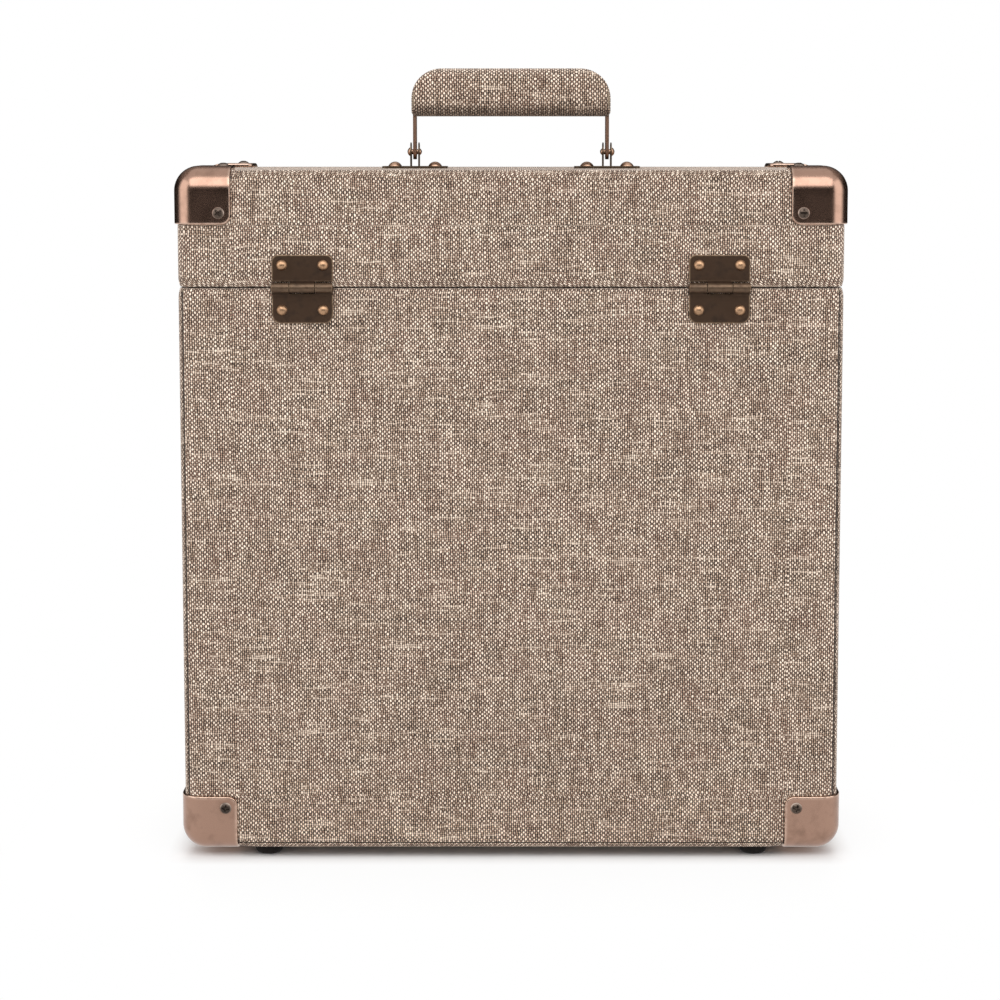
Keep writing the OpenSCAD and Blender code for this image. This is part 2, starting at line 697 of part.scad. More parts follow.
// Cover cloth and lining of the lid
module lid_holes() {
  at_hinge_rivets(1) drill(rivet_d, leaf_t);
  at_hasp_rivets() drill(rivet_d, plate_t);
  at_corner_screws(1) drill(screw_d, fitting_t);
  at_bracket_rivets() drill(bracket_rivet_d, bracket_t);
}
module lid_cover() in_frame() color(cloth) difference() {
  intersection() {
    cloth_body(1);
    between(lid_bottom, case_top + past);
  }
  intersection() {
    board_body(1);
    between(lid_bottom + cover_t, case_top);
  }
  inside(lid_bottom - past, lid_bottom + 2 * cover_t);
  lid_holes();
}
module lid_lining() in_frame() color(paper) difference() {
  inside_wall(lining_t, lid_bottom + cover_t, case_top - cover_t - board_t);
  inside(lid_bottom, lid_ceiling);
  at_hinge_rivets(1) drill(rivet_d, leaf_t);
  at_hasp_rivets() drill(rivet_d, plate_t);
  at_bracket_rivets() drill(bracket_rivet_d, bracket_t);
}

// Handle brackets: a riveted plate with two ears, and a pin through them
ear_x = strap_t / 2 + ear_gap;
module handle_bracket(side) color(bronze) difference() {
  translate([side * bracket_x, 0, case_top]) difference() {
    union() {
      linear_extrude(bracket_t) round_rect(bracket_w, bracket_d, bracket_r);
      for (x = [0, 1]) mirror([x, 0, 0]) {
        block([ear_x, -ear_r, 0], [ear_x + ear_t, ear_r, pivot_h]);
        translate([0, 0, pivot_h]) along_x(2 * ear_r, ear_x, ear_x + ear_t);
      }
    }
    translate([0, 0, pivot_h]) along_x(handle_pin_d + 2 * fixed_fit, -bracket_w, bracket_w);
  }
  at_bracket_rivets() drill(bracket_rivet_d, bracket_t);
}
module handle_pin(side) color(copper) translate([side * bracket_x, 0, pivot_z])
  mirror([side < 0 ? 1 : 0, 0, 0]) {
    along_x(handle_pin_d, -ear_x - ear_t, ear_x + ear_t);
    translate([ear_x + ear_t, 0, 0]) rotate([0, 90, 0]) dome(pin_head_d);
    translate([-ear_x - ear_t, 0, 0]) rotate([0, -90, 0]) dome(pin_tail_d);
  }
module handle_bracket_left() in_frame() handle_bracket(-1);
module handle_bracket_right() in_frame() handle_bracket(1);
module handle_pin_left() in_frame() handle_pin(-1);
module handle_pin_right() in_frame() handle_pin(1);
module bracket_rivets() in_frame() color(copper)
  at_bracket_rivets() rivet(bracket_dome_d, bracket_rivet_d, bracket_t);

// Handle strap: one bar bent twice, with an eye at each end
strap_top = grip_above + strap_bar_h;
module strap_outline(drawn_in) {
  w = 2 * (bracket_x + strap_t / 2 - drawn_in);
  r = strap_bend_r - drawn_in;
  top = strap_top - drawn_in;
  translate([-w / 2, drawn_in > 0 ? -2 * strap_w : 0])
    square([w, top - r + (drawn_in > 0 ? 2 * strap_w : 0)]);
  translate([-w / 2 + r, 0]) square([w - 2 * r, top]);
  for (x = [-1, 1]) translate([x * (w / 2 - r), top - r]) circle(r);
}
module strap_bow() rotate([90, 0, 0]) linear_extrude(strap_w, center = true) difference() {
  strap_outline(0);
  strap_outline(strap_t);
}
module handle_strap() in_frame() color(copper) translate([0, 0, pivot_z]) difference() {
  union() {
    strap_bow();
    for (side = [-1, 1]) translate([side * bracket_x, 0, 0])
      along_x(strap_w, -strap_t / 2, strap_t / 2);
  }
  along_x(bore_d, -case_w, case_w);
}

// Grip: a firm core moulded round the strap, wrapped in cloth
module grip_form(drawn_in) {
  l = grip_l - 2 * drawn_in;
  h = grip_h - 2 * drawn_in;
  r = grip_corner_r - drawn_in;
  z0 = grip_above + drawn_in;
  intersection() {
    rotate([90, 0, 0]) linear_extrude(grip_t, center = true) {
      translate([-l / 2, z0]) square([l, h - r]);
      translate([-l / 2 + r, z0]) square([l - 2 * r, h]);
      for (x = [-1, 1]) translate([x * (l / 2 - r), z0 + h - r]) circle(r);
    }
    translate([0, 0, z0 + h / 2]) rotate([90, 0, 90]) linear_extrude(l + past, center = true)
      round_rect(grip_t - 2 * drawn_in, h, grip_edge_r - drawn_in);
  }
}
module grip_core() in_frame() color(board) translate([0, 0, pivot_z]) difference() {
  grip_form(grip_cloth_t);
  strap_bow();
}
module grip_cover() in_frame() color(cloth) translate([0, 0, pivot_z]) difference() {
  grip_form(0);
  grip_form(grip_cloth_t);
  strap_bow();
}

// Hasps: a plate on the lid carries the hasp, whose window drops over the catch's nose
hasp_plate_start = hasp_knuckle_d / 2 + leaf_gap;
module at_hasp(side) translate([side * hasp_x, front + hasp_off, hasp_z]) children();
module hasp_plate(side) color(bronze) difference() {
  at_hasp(side) rotate(180) difference() {
    union() {
      leaf_plate(hasp_plate_w, hasp_plate_start, hasp_plate_h, plate_r, plate_t, hasp_off);
      for (x = [0, 1]) mirror([x, 0, 0]) {
        along_x(hasp_knuckle_d, hasp_w / 2 + knuckle_gap, hasp_plate_w / 2);
        tab(hasp_w / 2 + knuckle_gap, hasp_plate_w / 2, hasp_plate_start, plate_t, hasp_off);
      }
    }
    along_x(hasp_pin_d + 2 * fixed_fit, -hasp_plate_w, hasp_plate_w);
  }
  at_hasp_rivets() drill(rivet_d, plate_t);
}
module hasp_pin(side) color(bronze) at_hasp(side)
  along_x(hasp_pin_d, -hasp_plate_w / 2 - hinge_pin_proud, hasp_plate_w / 2 + hinge_pin_proud);
// A hasp hangs from its axis at its lean, which is its place at rest
module hasp(side) color(bronze) at_hasp(side) rotate([hasp_lean, 0, 0]) difference() {
  n = hasp_knuckle_d / 2;
  window = [nose_w + 2 * window_side_clear, 4 * plate_t, nose_h + 2 * window_clear];
  union() {
    along_x(hasp_knuckle_d, -hasp_w / 2, hasp_w / 2);
    block([-hasp_w / 2, n - plate_t, -hasp_l], [hasp_w / 2, n, 0]);
    translate([0, roll_n, -hasp_l]) along_x(2 * roll_r, -hasp_w / 2, hasp_w / 2);
  }
  along_x(hasp_pin_d + 2 * running_fit, -hasp_w, hasp_w);
  translate([0, n, -nose_drop]) cube(window, center = true);
}
module hasp_plate_left() in_frame() hasp_plate(-1);
module hasp_plate_right() in_frame() hasp_plate(1);
module hasp_plate_rivets() in_frame() color(copper)
  at_hasp_rivets() rivet(small_dome_d, rivet_d, plate_t);
module hasp_pin_left() in_frame() hasp_pin(-1);
module hasp_pin_right() in_frame() hasp_pin(1);
module hasp_left() in_frame() hasp(-1);
module hasp_right() in_frame() hasp(1);

base_back_panel();
base_front_panel();
base_left_panel();
base_right_panel();
base_bottom_panel();
base_cover();
base_back_sheet();
base_front_sheet();
base_lining();
rim_strips();
corner_base_back_left();
corner_base_back_right();
corner_base_front_left();
corner_base_front_right();
base_corner_screws();
hinge_left_lower_leaf();
hinge_right_lower_leaf();
hinge_left_pin();
hinge_right_pin();
base_hinge_rivets();
catch_left();
catch_right();
catch_rivets();
feet();
foot_screws();
lid_top_panel();
lid_back_panel();
lid_front_panel();
lid_left_panel();
lid_right_panel();
lid_cover();
lid_lining();
corner_lid_back_left();
corner_lid_back_right();
corner_lid_front_left();
corner_lid_front_right();
lid_corner_screws();
hinge_left_upper_leaf();
hinge_right_upper_leaf();
lid_hinge_rivets();
handle_bracket_left();
handle_bracket_right();
bracket_rivets();
handle_pin_left();
handle_pin_right();
hasp_plate_left();
hasp_plate_right();
hasp_plate_rivets();
hasp_pin_left();
hasp_pin_right();
handle_strap();
grip_core();
grip_cover();
hasp_left();
hasp_right();
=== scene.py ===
"""Record carrying case: the looks of a cloth-covered case with copper fittings, in metres."""

import math

import bmesh
import bpy
import numpy as np
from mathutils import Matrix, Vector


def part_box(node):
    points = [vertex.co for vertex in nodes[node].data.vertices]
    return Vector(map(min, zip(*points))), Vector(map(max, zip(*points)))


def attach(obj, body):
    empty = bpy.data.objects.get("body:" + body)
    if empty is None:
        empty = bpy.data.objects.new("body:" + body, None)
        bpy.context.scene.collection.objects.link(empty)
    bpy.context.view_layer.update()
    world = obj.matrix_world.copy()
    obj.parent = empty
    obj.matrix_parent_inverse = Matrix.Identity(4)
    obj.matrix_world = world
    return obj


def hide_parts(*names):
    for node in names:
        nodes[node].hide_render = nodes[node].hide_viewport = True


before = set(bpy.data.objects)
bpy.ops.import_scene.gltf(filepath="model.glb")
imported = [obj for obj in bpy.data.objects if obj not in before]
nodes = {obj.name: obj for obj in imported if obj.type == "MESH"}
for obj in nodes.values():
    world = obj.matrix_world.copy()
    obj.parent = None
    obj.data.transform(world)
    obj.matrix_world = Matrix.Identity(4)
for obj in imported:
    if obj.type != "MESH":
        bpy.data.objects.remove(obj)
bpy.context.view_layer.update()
MM = 0.001


# Cover cloth of the base and the lid. Tweed of cream and brown slub yarn, glued over the boards,
# with round upright edges and sharper level ones. At the seam it is drawn in and turned over
# the rim, and under the corner fittings it follows their ball shape.
cover_low, cover_high = (np.array(c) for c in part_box("base_cover"))
top_low, top_high = (np.array(c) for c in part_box("lid_cover"))
case_low = np.array([cover_low[0], top_low[1], cover_low[2]])
case_high = top_high
case_middle = (case_low + case_high) / 2
case_half = (case_high - case_low) / 2
# radii of the upright and the level edges, and of the outline's corners in front and behind
UPRIGHT_R, LEVEL_R, CORNER_R = 6 * MM, 2.5 * MM, 11 * MM
# the seats under the corner fittings: a flap's reach and its rounded end, then where the ball
# shape ends just past the flaps, and over how much it fades out
FITTING_REACH, FLAP_R = 28.5 * MM, 4.8 * MM
SEAT_START, SEAT_END = FITTING_REACH + 0.1 * MM, FITTING_REACH + 0.5 * MM
SEAT_FADE = 9 * MM
# how deep under the faces the lines start that are followed out to the skin
SKELETON = 14 * MM
WALL = 6.6 * MM
CLOTH_T = 0.9 * MM
# the rim: the cloth is drawn in over the last DRAWN_OVER, rolls over and is tucked in past the wall
DRAWN_IN, DRAWN_OVER = 0.9 * MM, 5 * MM
RIM_R = 0.55 * MM
RIM_SHARES = (0.3, 0.6, 0.93)
TUCKED = (0.4 * MM, 1.2 * MM)
# painted shade: the cloth darkens as it rolls over the rim into the seam, at most this much
RIM_SHADE = 0.4
# the let-in sheets' outline, and the groove that is left round them
SHEET_T = 0.6 * MM
SHEET_IN, SHEET_LIFT, SHEET_GROOVE = 2.25 * MM, 0.7 * MM, 0.5 * MM
SHEET_R = 8.8 * MM
REBATE_STEP = 0.15 * MM
# spacing of grid lines in the middle of a face, and below which distance two points become one
GRID = 9 * MM
MERGED = 2e-6
# the angles at which a rolled edge's quarter circle has points
QUARTER = np.radians([22.5, 45, 67.5, 90])


def smooth(x, start, end):
    """Goes from 0 at start to 1 at end along 3t^2 - 2t^3."""
    t = np.clip((x - start) / (end - start), 0, 1)
    return t * t * (3 - 2 * t)


def outside(insets, r):
    """How far points lie outside a box whose edges are rounded by r; insets are their depths
    under each of its faces: the length of what reaches past the box drawn in by r, less r."""
    past = r[..., None] - insets if isinstance(r, np.ndarray) else r - insets
    return np.linalg.norm(np.maximum(past, 0), axis=-1) + np.minimum(past.max(-1), 0) - r


def case_outside(p):
    """How far points lie outside the case: the most that they lie outside its outlines along
    X, Y and Z, and outside the ball corners, whose radius fades out past the fittings."""
    inset = case_half - np.abs(p - case_middle)
    ball_r = np.interp(inset.max(-1), [SEAT_START, SEAT_END, SEAT_END + SEAT_FADE],
                       [CORNER_R, FLAP_R, LEVEL_R])
    return np.max([
        outside(inset[..., [1, 2]], LEVEL_R),
        outside(inset[..., [0, 2]], CORNER_R),
        outside(inset[..., [0, 1]], UPRIGHT_R),
        outside(inset, ball_r),
    ], axis=0)


def meet(far, core, is_outside):
    """Where the straight lines from core to far leave a form, found by halving 30 times."""
    low, high = np.zeros(far.shape[:-1]), np.ones(far.shape[:-1])
    for _ in range(30):
        mid = (low + high) / 2
        out = is_outside(core + (far - core) * mid[..., None]) > 0
        low, high = np.where(out, low, mid), np.where(out, mid, high)
    return core + (far - core) * high[..., None]


def edge_steps():
    """Distances from an edge at which grid lines lie: close together over the rounded edge, at
    the groove round a sheet and at the end of the seats."""
    groove = [1.65, 1.75, 1.85, 1.95, 2.1, 2.3, 2.42, 2.5, 2.62, 2.8]
    seat_end = [27.4, 28.3, 28.55, 28.8, 29.05, 30]
    return MM * np.concatenate([
        np.arange(0, 1.6, 0.3), groove, np.arange(3.1, 8, 0.7), np.arange(8, 15, 1.5),
        np.arange(15, 27, 4), seat_end, np.arange(31.5, 41, 1.5)])


def spaced(length, far_edge=True):
    """Grid lines over a face, from one edge to the other or, at a rim, to the turned edge."""
    near = edge_steps()
    if far_edge:
        middle = np.linspace(near[-1], length - near[-1], round((length - 2 * near[-1]) / GRID) + 1)
        return np.concatenate([near[:-1], middle, (length - near[::-1])[1:]])
    last = length - DRAWN_OVER
    middle = np.linspace(near[-1], last, max(2, round((last - near[-1]) / GRID)) + 1)
    return np.concatenate([near[:-1], middle, np.linspace(last, length - RIM_R, 8)[1:]])


def lengths(points, axis):
    """Running length along the lines of a grid, from 0 at their start."""
    steps = np.linalg.norm(np.diff(points, axis=axis), axis=-1)
    start = np.zeros_like(np.take(steps, [0], axis=axis))
    return np.concatenate([start, np.cumsum(steps, axis=axis)], axis=axis)


def grid_faces(rows, columns, start=0, loop=False):
    """Four-sided faces of a grid of points in row order; loop joins the last column to the first."""
    across = np.arange(columns if loop else columns - 1)
    i, j = np.meshgrid(np.arange(rows - 1), across, indexing="ij")
    k = (j + 1) % columns
    corners = [i * columns + j, i * columns + k, (i + 1) * columns + k, (i + 1) * columns + j]
    return start + np.stack(corners, -1).reshape(-1, 4)


def clean(mesh, sharp, level=0):
    """Merges points that meet, turns the faces outwards and shades them smooth, except at edges
    sharper than an angle. Faces that lie level within a second angle are joined. Angles are in
    degrees."""
    b = bmesh.new()
    b.from_mesh(mesh)
    bmesh.ops.remove_doubles(b, verts=b.verts, dist=MERGED)
    if level:
        bmesh.ops.dissolve_limit(b, angle_limit=math.radians(level), verts=b.verts, edges=b.edges)
    bmesh.ops.recalc_face_normals(b, faces=b.faces)
    b.to_mesh(mesh)
    b.free()
    mesh.polygons.foreach_set("use_smooth", [True] * len(mesh.polygons))
    mesh.set_sharp_from_angle(angle=math.radians(sharp))


def put_in_place(name, body, material, mesh):
    """The piece made of a mesh, which rides on its body and replaces the node of its name."""
    mesh.materials.clear()
    mesh.materials.append(material)
    piece = bpy.data.objects.new(name + "_form", mesh)
    bpy.context.scene.collection.objects.link(piece)
    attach(piece, body)
    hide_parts(name)
    return piece


def make_piece(name, body, material, patches, wall=0, sharp=35):
    """One piece of several grids. A patch is its points, its flat coordinates or None, how worn each
    point is, which on cloth is painted shade, or None, and whether its columns close into a ring.
    Edges sharper than an angle in degrees stay sharp, and wall gives the skin a thickness inwards."""
    points, faces, flat, wear_and_shade_values, start = [], [], [], [], 0
    for grid, uv, wear_and_shade, loop in patches:
        rows, columns = grid.shape[:2]
        points.append(grid.reshape(-1, 3))
        faces.append(grid_faces(rows, columns, start, loop))
        flat.append(np.zeros((rows * columns, 2)) if uv is None else uv.reshape(-1, 2))
        wear_and_shade_values.append(np.broadcast_to(0.0 if wear_and_shade is None else wear_and_shade, (rows, columns)).ravel())
        start += rows * columns
    points, faces, flat, wear_and_shade_values = (np.concatenate(a) for a in (points, faces, flat, wear_and_shade_values))
    mesh = bpy.data.meshes.new(name + "_form")
    mesh.from_pydata(points, [], faces.tolist())
    at_corners = flat[faces.ravel()].ravel().astype(np.float32)
    mesh.uv_layers.new(name="Flat").data.foreach_set("uv", at_corners)
    values = mesh.attributes.new("wear_and_shade_values", "FLOAT", "POINT")
    values.data.foreach_set("value", wear_and_shade_values.astype(np.float32))
    clean(mesh, sharp)
    piece = put_in_place(name, body, material, mesh)
    if wall:
        solid = piece.modifiers.new("wall", "SOLIDIFY")
        solid.thickness, solid.offset, solid.use_even_offset = wall, -1, False
    return piece


def wall_core(far):
    """For points on the box's sides, where the lines out to the skin start: SKELETON inside the
    nearest faces, and level with the point except beside the closed face."""
    core = np.clip(far, -(case_half - SKELETON), case_half - SKELETON)
    level = np.abs(far[..., 2]) < case_half[2] - SKELETON
    core[..., 2] = np.where(level, far[..., 2], core[..., 2])
    return core


def drawn_in(z, height):
    """How far the cloth is drawn in at a distance z from the closed face: a square law that
    starts DRAWN_OVER before the rolled rim."""
    return DRAWN_IN * np.clip((z - height + RIM_R + DRAWN_OVER) / DRAWN_OVER, 0, 1) ** 2


def wall_patches(up, rebate):
    """The four walls of the base or the lid, in turn round the case, with rows from the closed
    edge to the rim, over it and down to the lining. rebate is how deep the front and back lie
    inside the place of a let-in sheet."""
    height = (cover_high - cover_low)[2] if up < 0 else (top_high - top_low)[2]
    x, y = spaced(2 * case_half[0]), spaced(2 * case_half[1])
    z = spaced(height, far_edge=False)
    patches, before = [], 0
    for axis, sign in ((1, 1), (0, -1), (1, -1), (0, 1)):
        along = x if axis == 1 else y
        far = np.empty((len(z), len(along), 3))
        far[..., axis] = sign * case_half[axis]
        way = -1 if (axis, sign) in ((1, 1), (0, -1)) else 1
        far[..., 1 - axis] = way * (along - case_half[1 - axis])
        far[..., 2] = (up * (case_half[2] - z))[:, None]
        core = wall_core(far)
        skin = meet(far + case_middle, core + case_middle, case_outside)
        inward = (core - far) / np.linalg.norm(core - far, axis=-1, keepdims=True)
        if rebate and axis == 1:
            skin = skin + inward * rebate_depth(skin, rebate)[..., None]
        level = inward * [1, 1, 0]
        level /= np.linalg.norm(level, axis=-1, keepdims=True) + 1e-12
        skin = skin + level * drawn_in(z, height)[:, None, None]
        rim_z = skin[-1, 0, 2] - up * RIM_R
        rows = [skin]
        for angle in QUARTER:
            row = skin[-1] + level[-1] * RIM_R * (1 - math.cos(angle))
            rows.append((row - [0, 0, up * RIM_R * math.sin(angle)])[None])
        inner = np.clip(skin[-1] - case_middle, -(case_half - WALL), case_half - WALL) + case_middle
        inner[:, 2] = rim_z
        over = rows[-1][0]
        rows += [(over * (1 - share) + inner * share)[None] for share in RIM_SHARES]
        rows += [(inner + [0, 0, up * deep])[None] for deep in TUCKED]
        grid = np.concatenate(rows)
        u = lengths(grid, 1) + before
        before = u[:, -1:]
        # painted shade where shade falls: the cloth darkens in the groove round a let-in sheet and over the
        # rolled rim
        painted_shade = np.zeros(grid.shape[:2])
        if rebate and axis == 1:
            painted_shade[:len(skin)] = rebate_depth(skin, 1)
        painted_shade[len(skin) - 1:] = np.linspace(0, RIM_SHADE, len(grid) - len(skin) + 1)[:, None]
        patches.append([grid, np.stack([u, lengths(grid, 0)], -1), painted_shade, False])
    return patches


def flat_patch(up, back):
    """The closed face of the base or the lid, its cloth running on from the back wall's."""
    x, y = spaced(2 * case_half[0]), spaced(2 * case_half[1])
    far = np.empty((len(y), len(x), 3))
    far[..., 0], far[..., 1] = (x - case_half[0])[None], (y - case_half[1])[:, None]
    far[..., 2] = up * case_half[2]
    core = np.clip(far, -(case_half - SKELETON), case_half - SKELETON)
    skin = meet(far + case_middle, core + case_middle, case_outside)
    u = np.broadcast_to(back[1][0, :, 0], far.shape[:2])
    return [skin, np.stack([u, -lengths(skin, 0)], -1), None, False]


def rebate_depth(p, deep):
    """deep inside the outline of a let-in sheet, 0 outside it, with a steep step between."""
    inset = (case_half - np.abs(p - case_middle))[..., [0, 2]]
    inset[..., 1] = p[..., 2] - case_low[2] - SHEET_LIFT
    edge = SHEET_IN - SHEET_GROOVE
    return deep * smooth(-outside(inset - edge, SHEET_R), 0, REBATE_STEP)


def put(tree, kind, inputs=(), **settings):
    """Adds a shader node, makes its settings and fills its inputs with values or links."""
    made = tree.nodes.new(kind)
    for key, value in settings.items():
        setattr(made, key, value)
    for key, value in dict(inputs).items():
        if isinstance(value, bpy.types.NodeSocket):
            tree.links.new(value, made.inputs[key])
        else:
            made.inputs[key].default_value = value
    return made


def calc(tree, operation, *values, clamp=False):
    """The result of one sum on numbers or links."""
    made = put(tree, "ShaderNodeMath", enumerate(values), operation=operation, use_clamp=clamp)
    return made.outputs[0]


def blend(tree, share, a, b):
    """Colour a going to colour b by share. The node's colour sockets are numbers 6 and 7."""
    made = put(tree, "ShaderNodeMix", {0: share, 6: a, 7: b}, data_type="RGBA", clamp_factor=True)
    return made.outputs[2]


def remap(tree, value, low, high, new_low=0.0, new_high=1.0):
    """value from low..high to new_low..new_high, kept inside them."""
    made = put(tree, "ShaderNodeMapRange", {0: value, 1: low, 2: high, 3: new_low, 4: new_high})
    return made.outputs[0]


def noise(tree, vector, scale, detail=2.0, roughness=0.5, dimensions="3D"):
    """Soft noise between about 0.25 and 0.75."""
    made = put(tree, "ShaderNodeTexNoise", noise_dimensions=dimensions, inputs={
        "Vector": vector, "Scale": scale, "Detail": detail, "Roughness": roughness})
    return made.outputs[0]


def place_of(tree):
    """Where a point lies on the object, in its own coordinates."""
    return put(tree, "ShaderNodeTexCoord").outputs["Object"]


def bump_into(tree, principled, height, strength, distance):
    """Lets a height bend the surface's light."""
    bump = put(tree, "ShaderNodeBump", {"Height": height, "Strength": strength, "Distance": distance})
    tree.links.new(bump.outputs[0], principled.inputs["Normal"])


def new_group(name, inputs, outputs):
    """An empty node group with these sockets, and its input node."""
    tree = bpy.data.node_groups.new(name, "ShaderNodeTree")
    for label, kind in inputs.items():
        tree.interface.new_socket(label, in_out="INPUT", socket_type="NodeSocket" + kind)
    for label, kind in outputs.items():
        tree.interface.new_socket(label, in_out="OUTPUT", socket_type="NodeSocket" + kind)
    return tree, tree.nodes.new("NodeGroupInput")


def new_material(name, **shader):
    """A material, its node tree and its Principled shader, with the constant values set on it."""
    made = bpy.data.materials.new(name)
    made.use_nodes = True
    principled = made.node_tree.nodes["Principled BSDF"]
    for key, value in shader.items():
        principled.inputs[key.replace("_", " ")].default_value = value
    return made, made.node_tree, principled


def rgb(r, g, b):
    """A colour from its linear parts."""
    return (r, g, b, 1.0)


# Plain weave: cream warp over brown weft. With the cell as unit, sin(pi u) sin(pi v) is positive
# where the warp is on top and negative where the weft is. Each thread and each crossing has its
# own tone and thickness, the threads wander, some weft slubs are pale, and the dye drifts.
weave, given = new_group(
    "tweed_weave",
    {"Flat": "Vector", "Cell": "Float", "Cream": "Color", "Tan": "Color", "Brown": "Color",
     "Rust": "Color", "Ground": "Color"},
    {"Color": "Color", "Height": "Float"})
on_cloth, cell = given.outputs["Flat"], given.outputs["Cell"]
cream, tan, brown, rust, ground = (given.outputs[c] for c in ("Cream", "Tan", "Brown", "Rust", "Ground"))
# how often a thread wanders, per metre, and how many cells far
WANDER_OFTEN, WANDER_U, WANDER_V = 210.0, 1.1, 1.6
# how often the dye drifts between light and dark, and from brown to rust, per metre
DRIFT_OFTEN, RUST_OFTEN = 62.0, 50.0
DARK_WEFT = rgb(0.09, 0.055, 0.038)


def moved(by, scale=(1.0, 1.0, 1.0)):
    """The flat coordinates, scaled and moved for another noise."""
    made = put(weave, "ShaderNodeVectorMath", {0: on_cloth, 1: scale, 2: by}, operation="MULTIPLY_ADD")
    return made.outputs[0]


def crossing(x, y):
    """A place in the weave's own count of threads."""
    return put(weave, "ShaderNodeCombineXYZ", {0: x, 1: y}).outputs[0]


def thread_tone(x, y, scale_x, scale_y):
    """A tone from 0 to 1 that changes slowly along a thread and is new for the next one: noise of
    one coordinate scaled down and of the other, the thread's number, scaled up."""
    at = crossing(calc(weave, "MULTIPLY", x, scale_x), calc(weave, "MULTIPLY", y, scale_y))
    return remap(weave, noise(weave, at, 1.0, 1.0, dimensions="2D"), 0.3, 0.7)


def rise(across_power, along_power):
    """How high a thread stands at a point of its crossing: the product of powers of the sines
    across and along it. A small power makes a steep side and a flat top."""
    return calc(weave, "MULTIPLY", calc(weave, "POWER", across, across_power),
                calc(weave, "POWER", along, along_power))


parts = put(weave, "ShaderNodeSeparateXYZ", {0: on_cloth})
wander_u = calc(weave, "SUBTRACT", noise(weave, on_cloth, WANDER_OFTEN, 1.0), 0.5)
wander_v = calc(weave, "SUBTRACT", noise(weave, moved((0.31, 0.17, 0.05)), WANDER_OFTEN, 1.0), 0.5)
u = calc(weave, "MULTIPLY_ADD", wander_u, WANDER_U, calc(weave, "DIVIDE", parts.outputs[0], cell))
v = calc(weave, "MULTIPLY_ADD", wander_v, WANDER_V, calc(weave, "DIVIDE", parts.outputs[1], cell))
column, row = calc(weave, "FLOOR", u), calc(weave, "FLOOR", v)
across, along = (calc(weave, "SINE", calc(weave, "MULTIPLY", t, math.pi)) for t in (u, v))
warp_on_top = calc(weave, "GREATER_THAN", calc(weave, "MULTIPLY", across, along), 0.0)
weft_on_top = calc(weave, "SUBTRACT", 1.0, warp_on_top)
across, along = calc(weave, "ABSOLUTE", across), calc(weave, "ABSOLUTE", along)
warp_tone = thread_tone(column, v, 7.31, 0.05)
weft_tone = thread_tone(u, row, 0.05, 5.17)
knots = put(weave, "ShaderNodeTexWhiteNoise", {0: crossing(column, row)}, noise_dimensions="2D")
knot_tone = knots.outputs[0]

# how much of a point each thread covers: its rise and its thickness, less a threshold, over the
# width of its soft edge
size = calc(weave, "MULTIPLY_ADD", knot_tone, 0.6, calc(weave, "MULTIPLY", warp_tone, 0.4))
warp_edge = calc(weave, "MULTIPLY_ADD", size, 0.35, calc(weave, "SUBTRACT", rise(1.5, 0.45), 0.4))
warp_share = calc(weave, "MULTIPLY", calc(weave, "DIVIDE", warp_edge, 0.2, clamp=True), warp_on_top)
slub = remap(weave, weft_tone, 0.9, 1.0, 0.0, 0.55)
weft_edge = calc(weave, "MULTIPLY_ADD", slub, 0.12, calc(weave, "SUBTRACT", rise(1.2, 0.6), 0.25))
weft_edge = calc(weave, "MULTIPLY_ADD", weft_tone, 0.12, weft_edge)
weft_share = calc(weave, "MULTIPLY", calc(weave, "DIVIDE", weft_edge, 0.5, clamp=True), weft_on_top)

drift = noise(weave, moved((0.1, 0.2, 0.0), (1.0, 0.6, 1.0)), DRIFT_OFTEN, 3.0)
to_rust = remap(weave, noise(weave, moved((0.7, 0.4, 0.0)), RUST_OFTEN, 2.0), 0.35, 0.65, 0.0, 0.6)
light = calc(weave, "MULTIPLY", remap(weave, size, 0.1, 0.8), remap(weave, drift, 0.3, 0.7, 0.8, 1.1),
             clamp=True)
brown_share = calc(weave, "MULTIPLY_ADD", weft_tone, 0.6, calc(weave, "MULTIPLY", knot_tone, 0.4))
weft = blend(weave, slub, blend(weave, brown_share, DARK_WEFT, brown), cream)
weft = blend(weave, to_rust, weft, rust)
warp = blend(weave, light, tan, cream)
cloth_colour = blend(weave, warp_share, blend(weave, weft_share, ground, weft), warp)
cloth_height = calc(weave, "MULTIPLY_ADD", weft_share, 0.5, warp_share)
put(weave, "NodeGroupOutput", {"Color": cloth_colour, "Height": cloth_height})
TWEED = {"Cream": rgb(1.0, 0.83, 0.675), "Tan": rgb(0.48, 0.345, 0.25), "Brown": rgb(0.48, 0.325, 0.23),
         "Rust": rgb(0.30, 0.16, 0.12), "Ground": rgb(0.006, 0.004, 0.003)}
# the colour of the painted shade in the cloth's grooves, at its rim and under the grip
PAINTED_SHADE_COLOUR = rgb(0.02, 0.013, 0.01)


def wear_and_shade_of(tree):
    """How worn a piece says that a point is; on cloth the value is painted shade."""
    return put(tree, "ShaderNodeAttribute", attribute_name="wear_and_shade_values").outputs["Fac"]


def cloth_material(name, thread):
    """Tweed on the piece's flat coordinates, with its threads this far apart, darkened with painted
    shade where the piece's value at its points says so."""
    made, tree, principled = new_material(
        name, Roughness=0.9, Specular_IOR_Level=0.25, Sheen_Weight=0.3, Sheen_Roughness=0.5,
        Sheen_Tint=rgb(1.0, 0.92, 0.86))
    flat = put(tree, "ShaderNodeUVMap", uv_map="Flat").outputs[0]
    cloth = put(tree, "ShaderNodeGroup", {"Flat": flat, "Cell": thread, **TWEED}, node_tree=weave)
    shaded_cloth = blend(tree, calc(tree, "MULTIPLY", wear_and_shade_of(tree), 0.85), cloth.outputs["Color"], PAINTED_SHADE_COLOUR)
    tree.links.new(shaded_cloth, principled.inputs["Base Color"])
    bump_into(tree, principled, cloth.outputs["Height"], 0.4, 0.3 * MM)
    return made


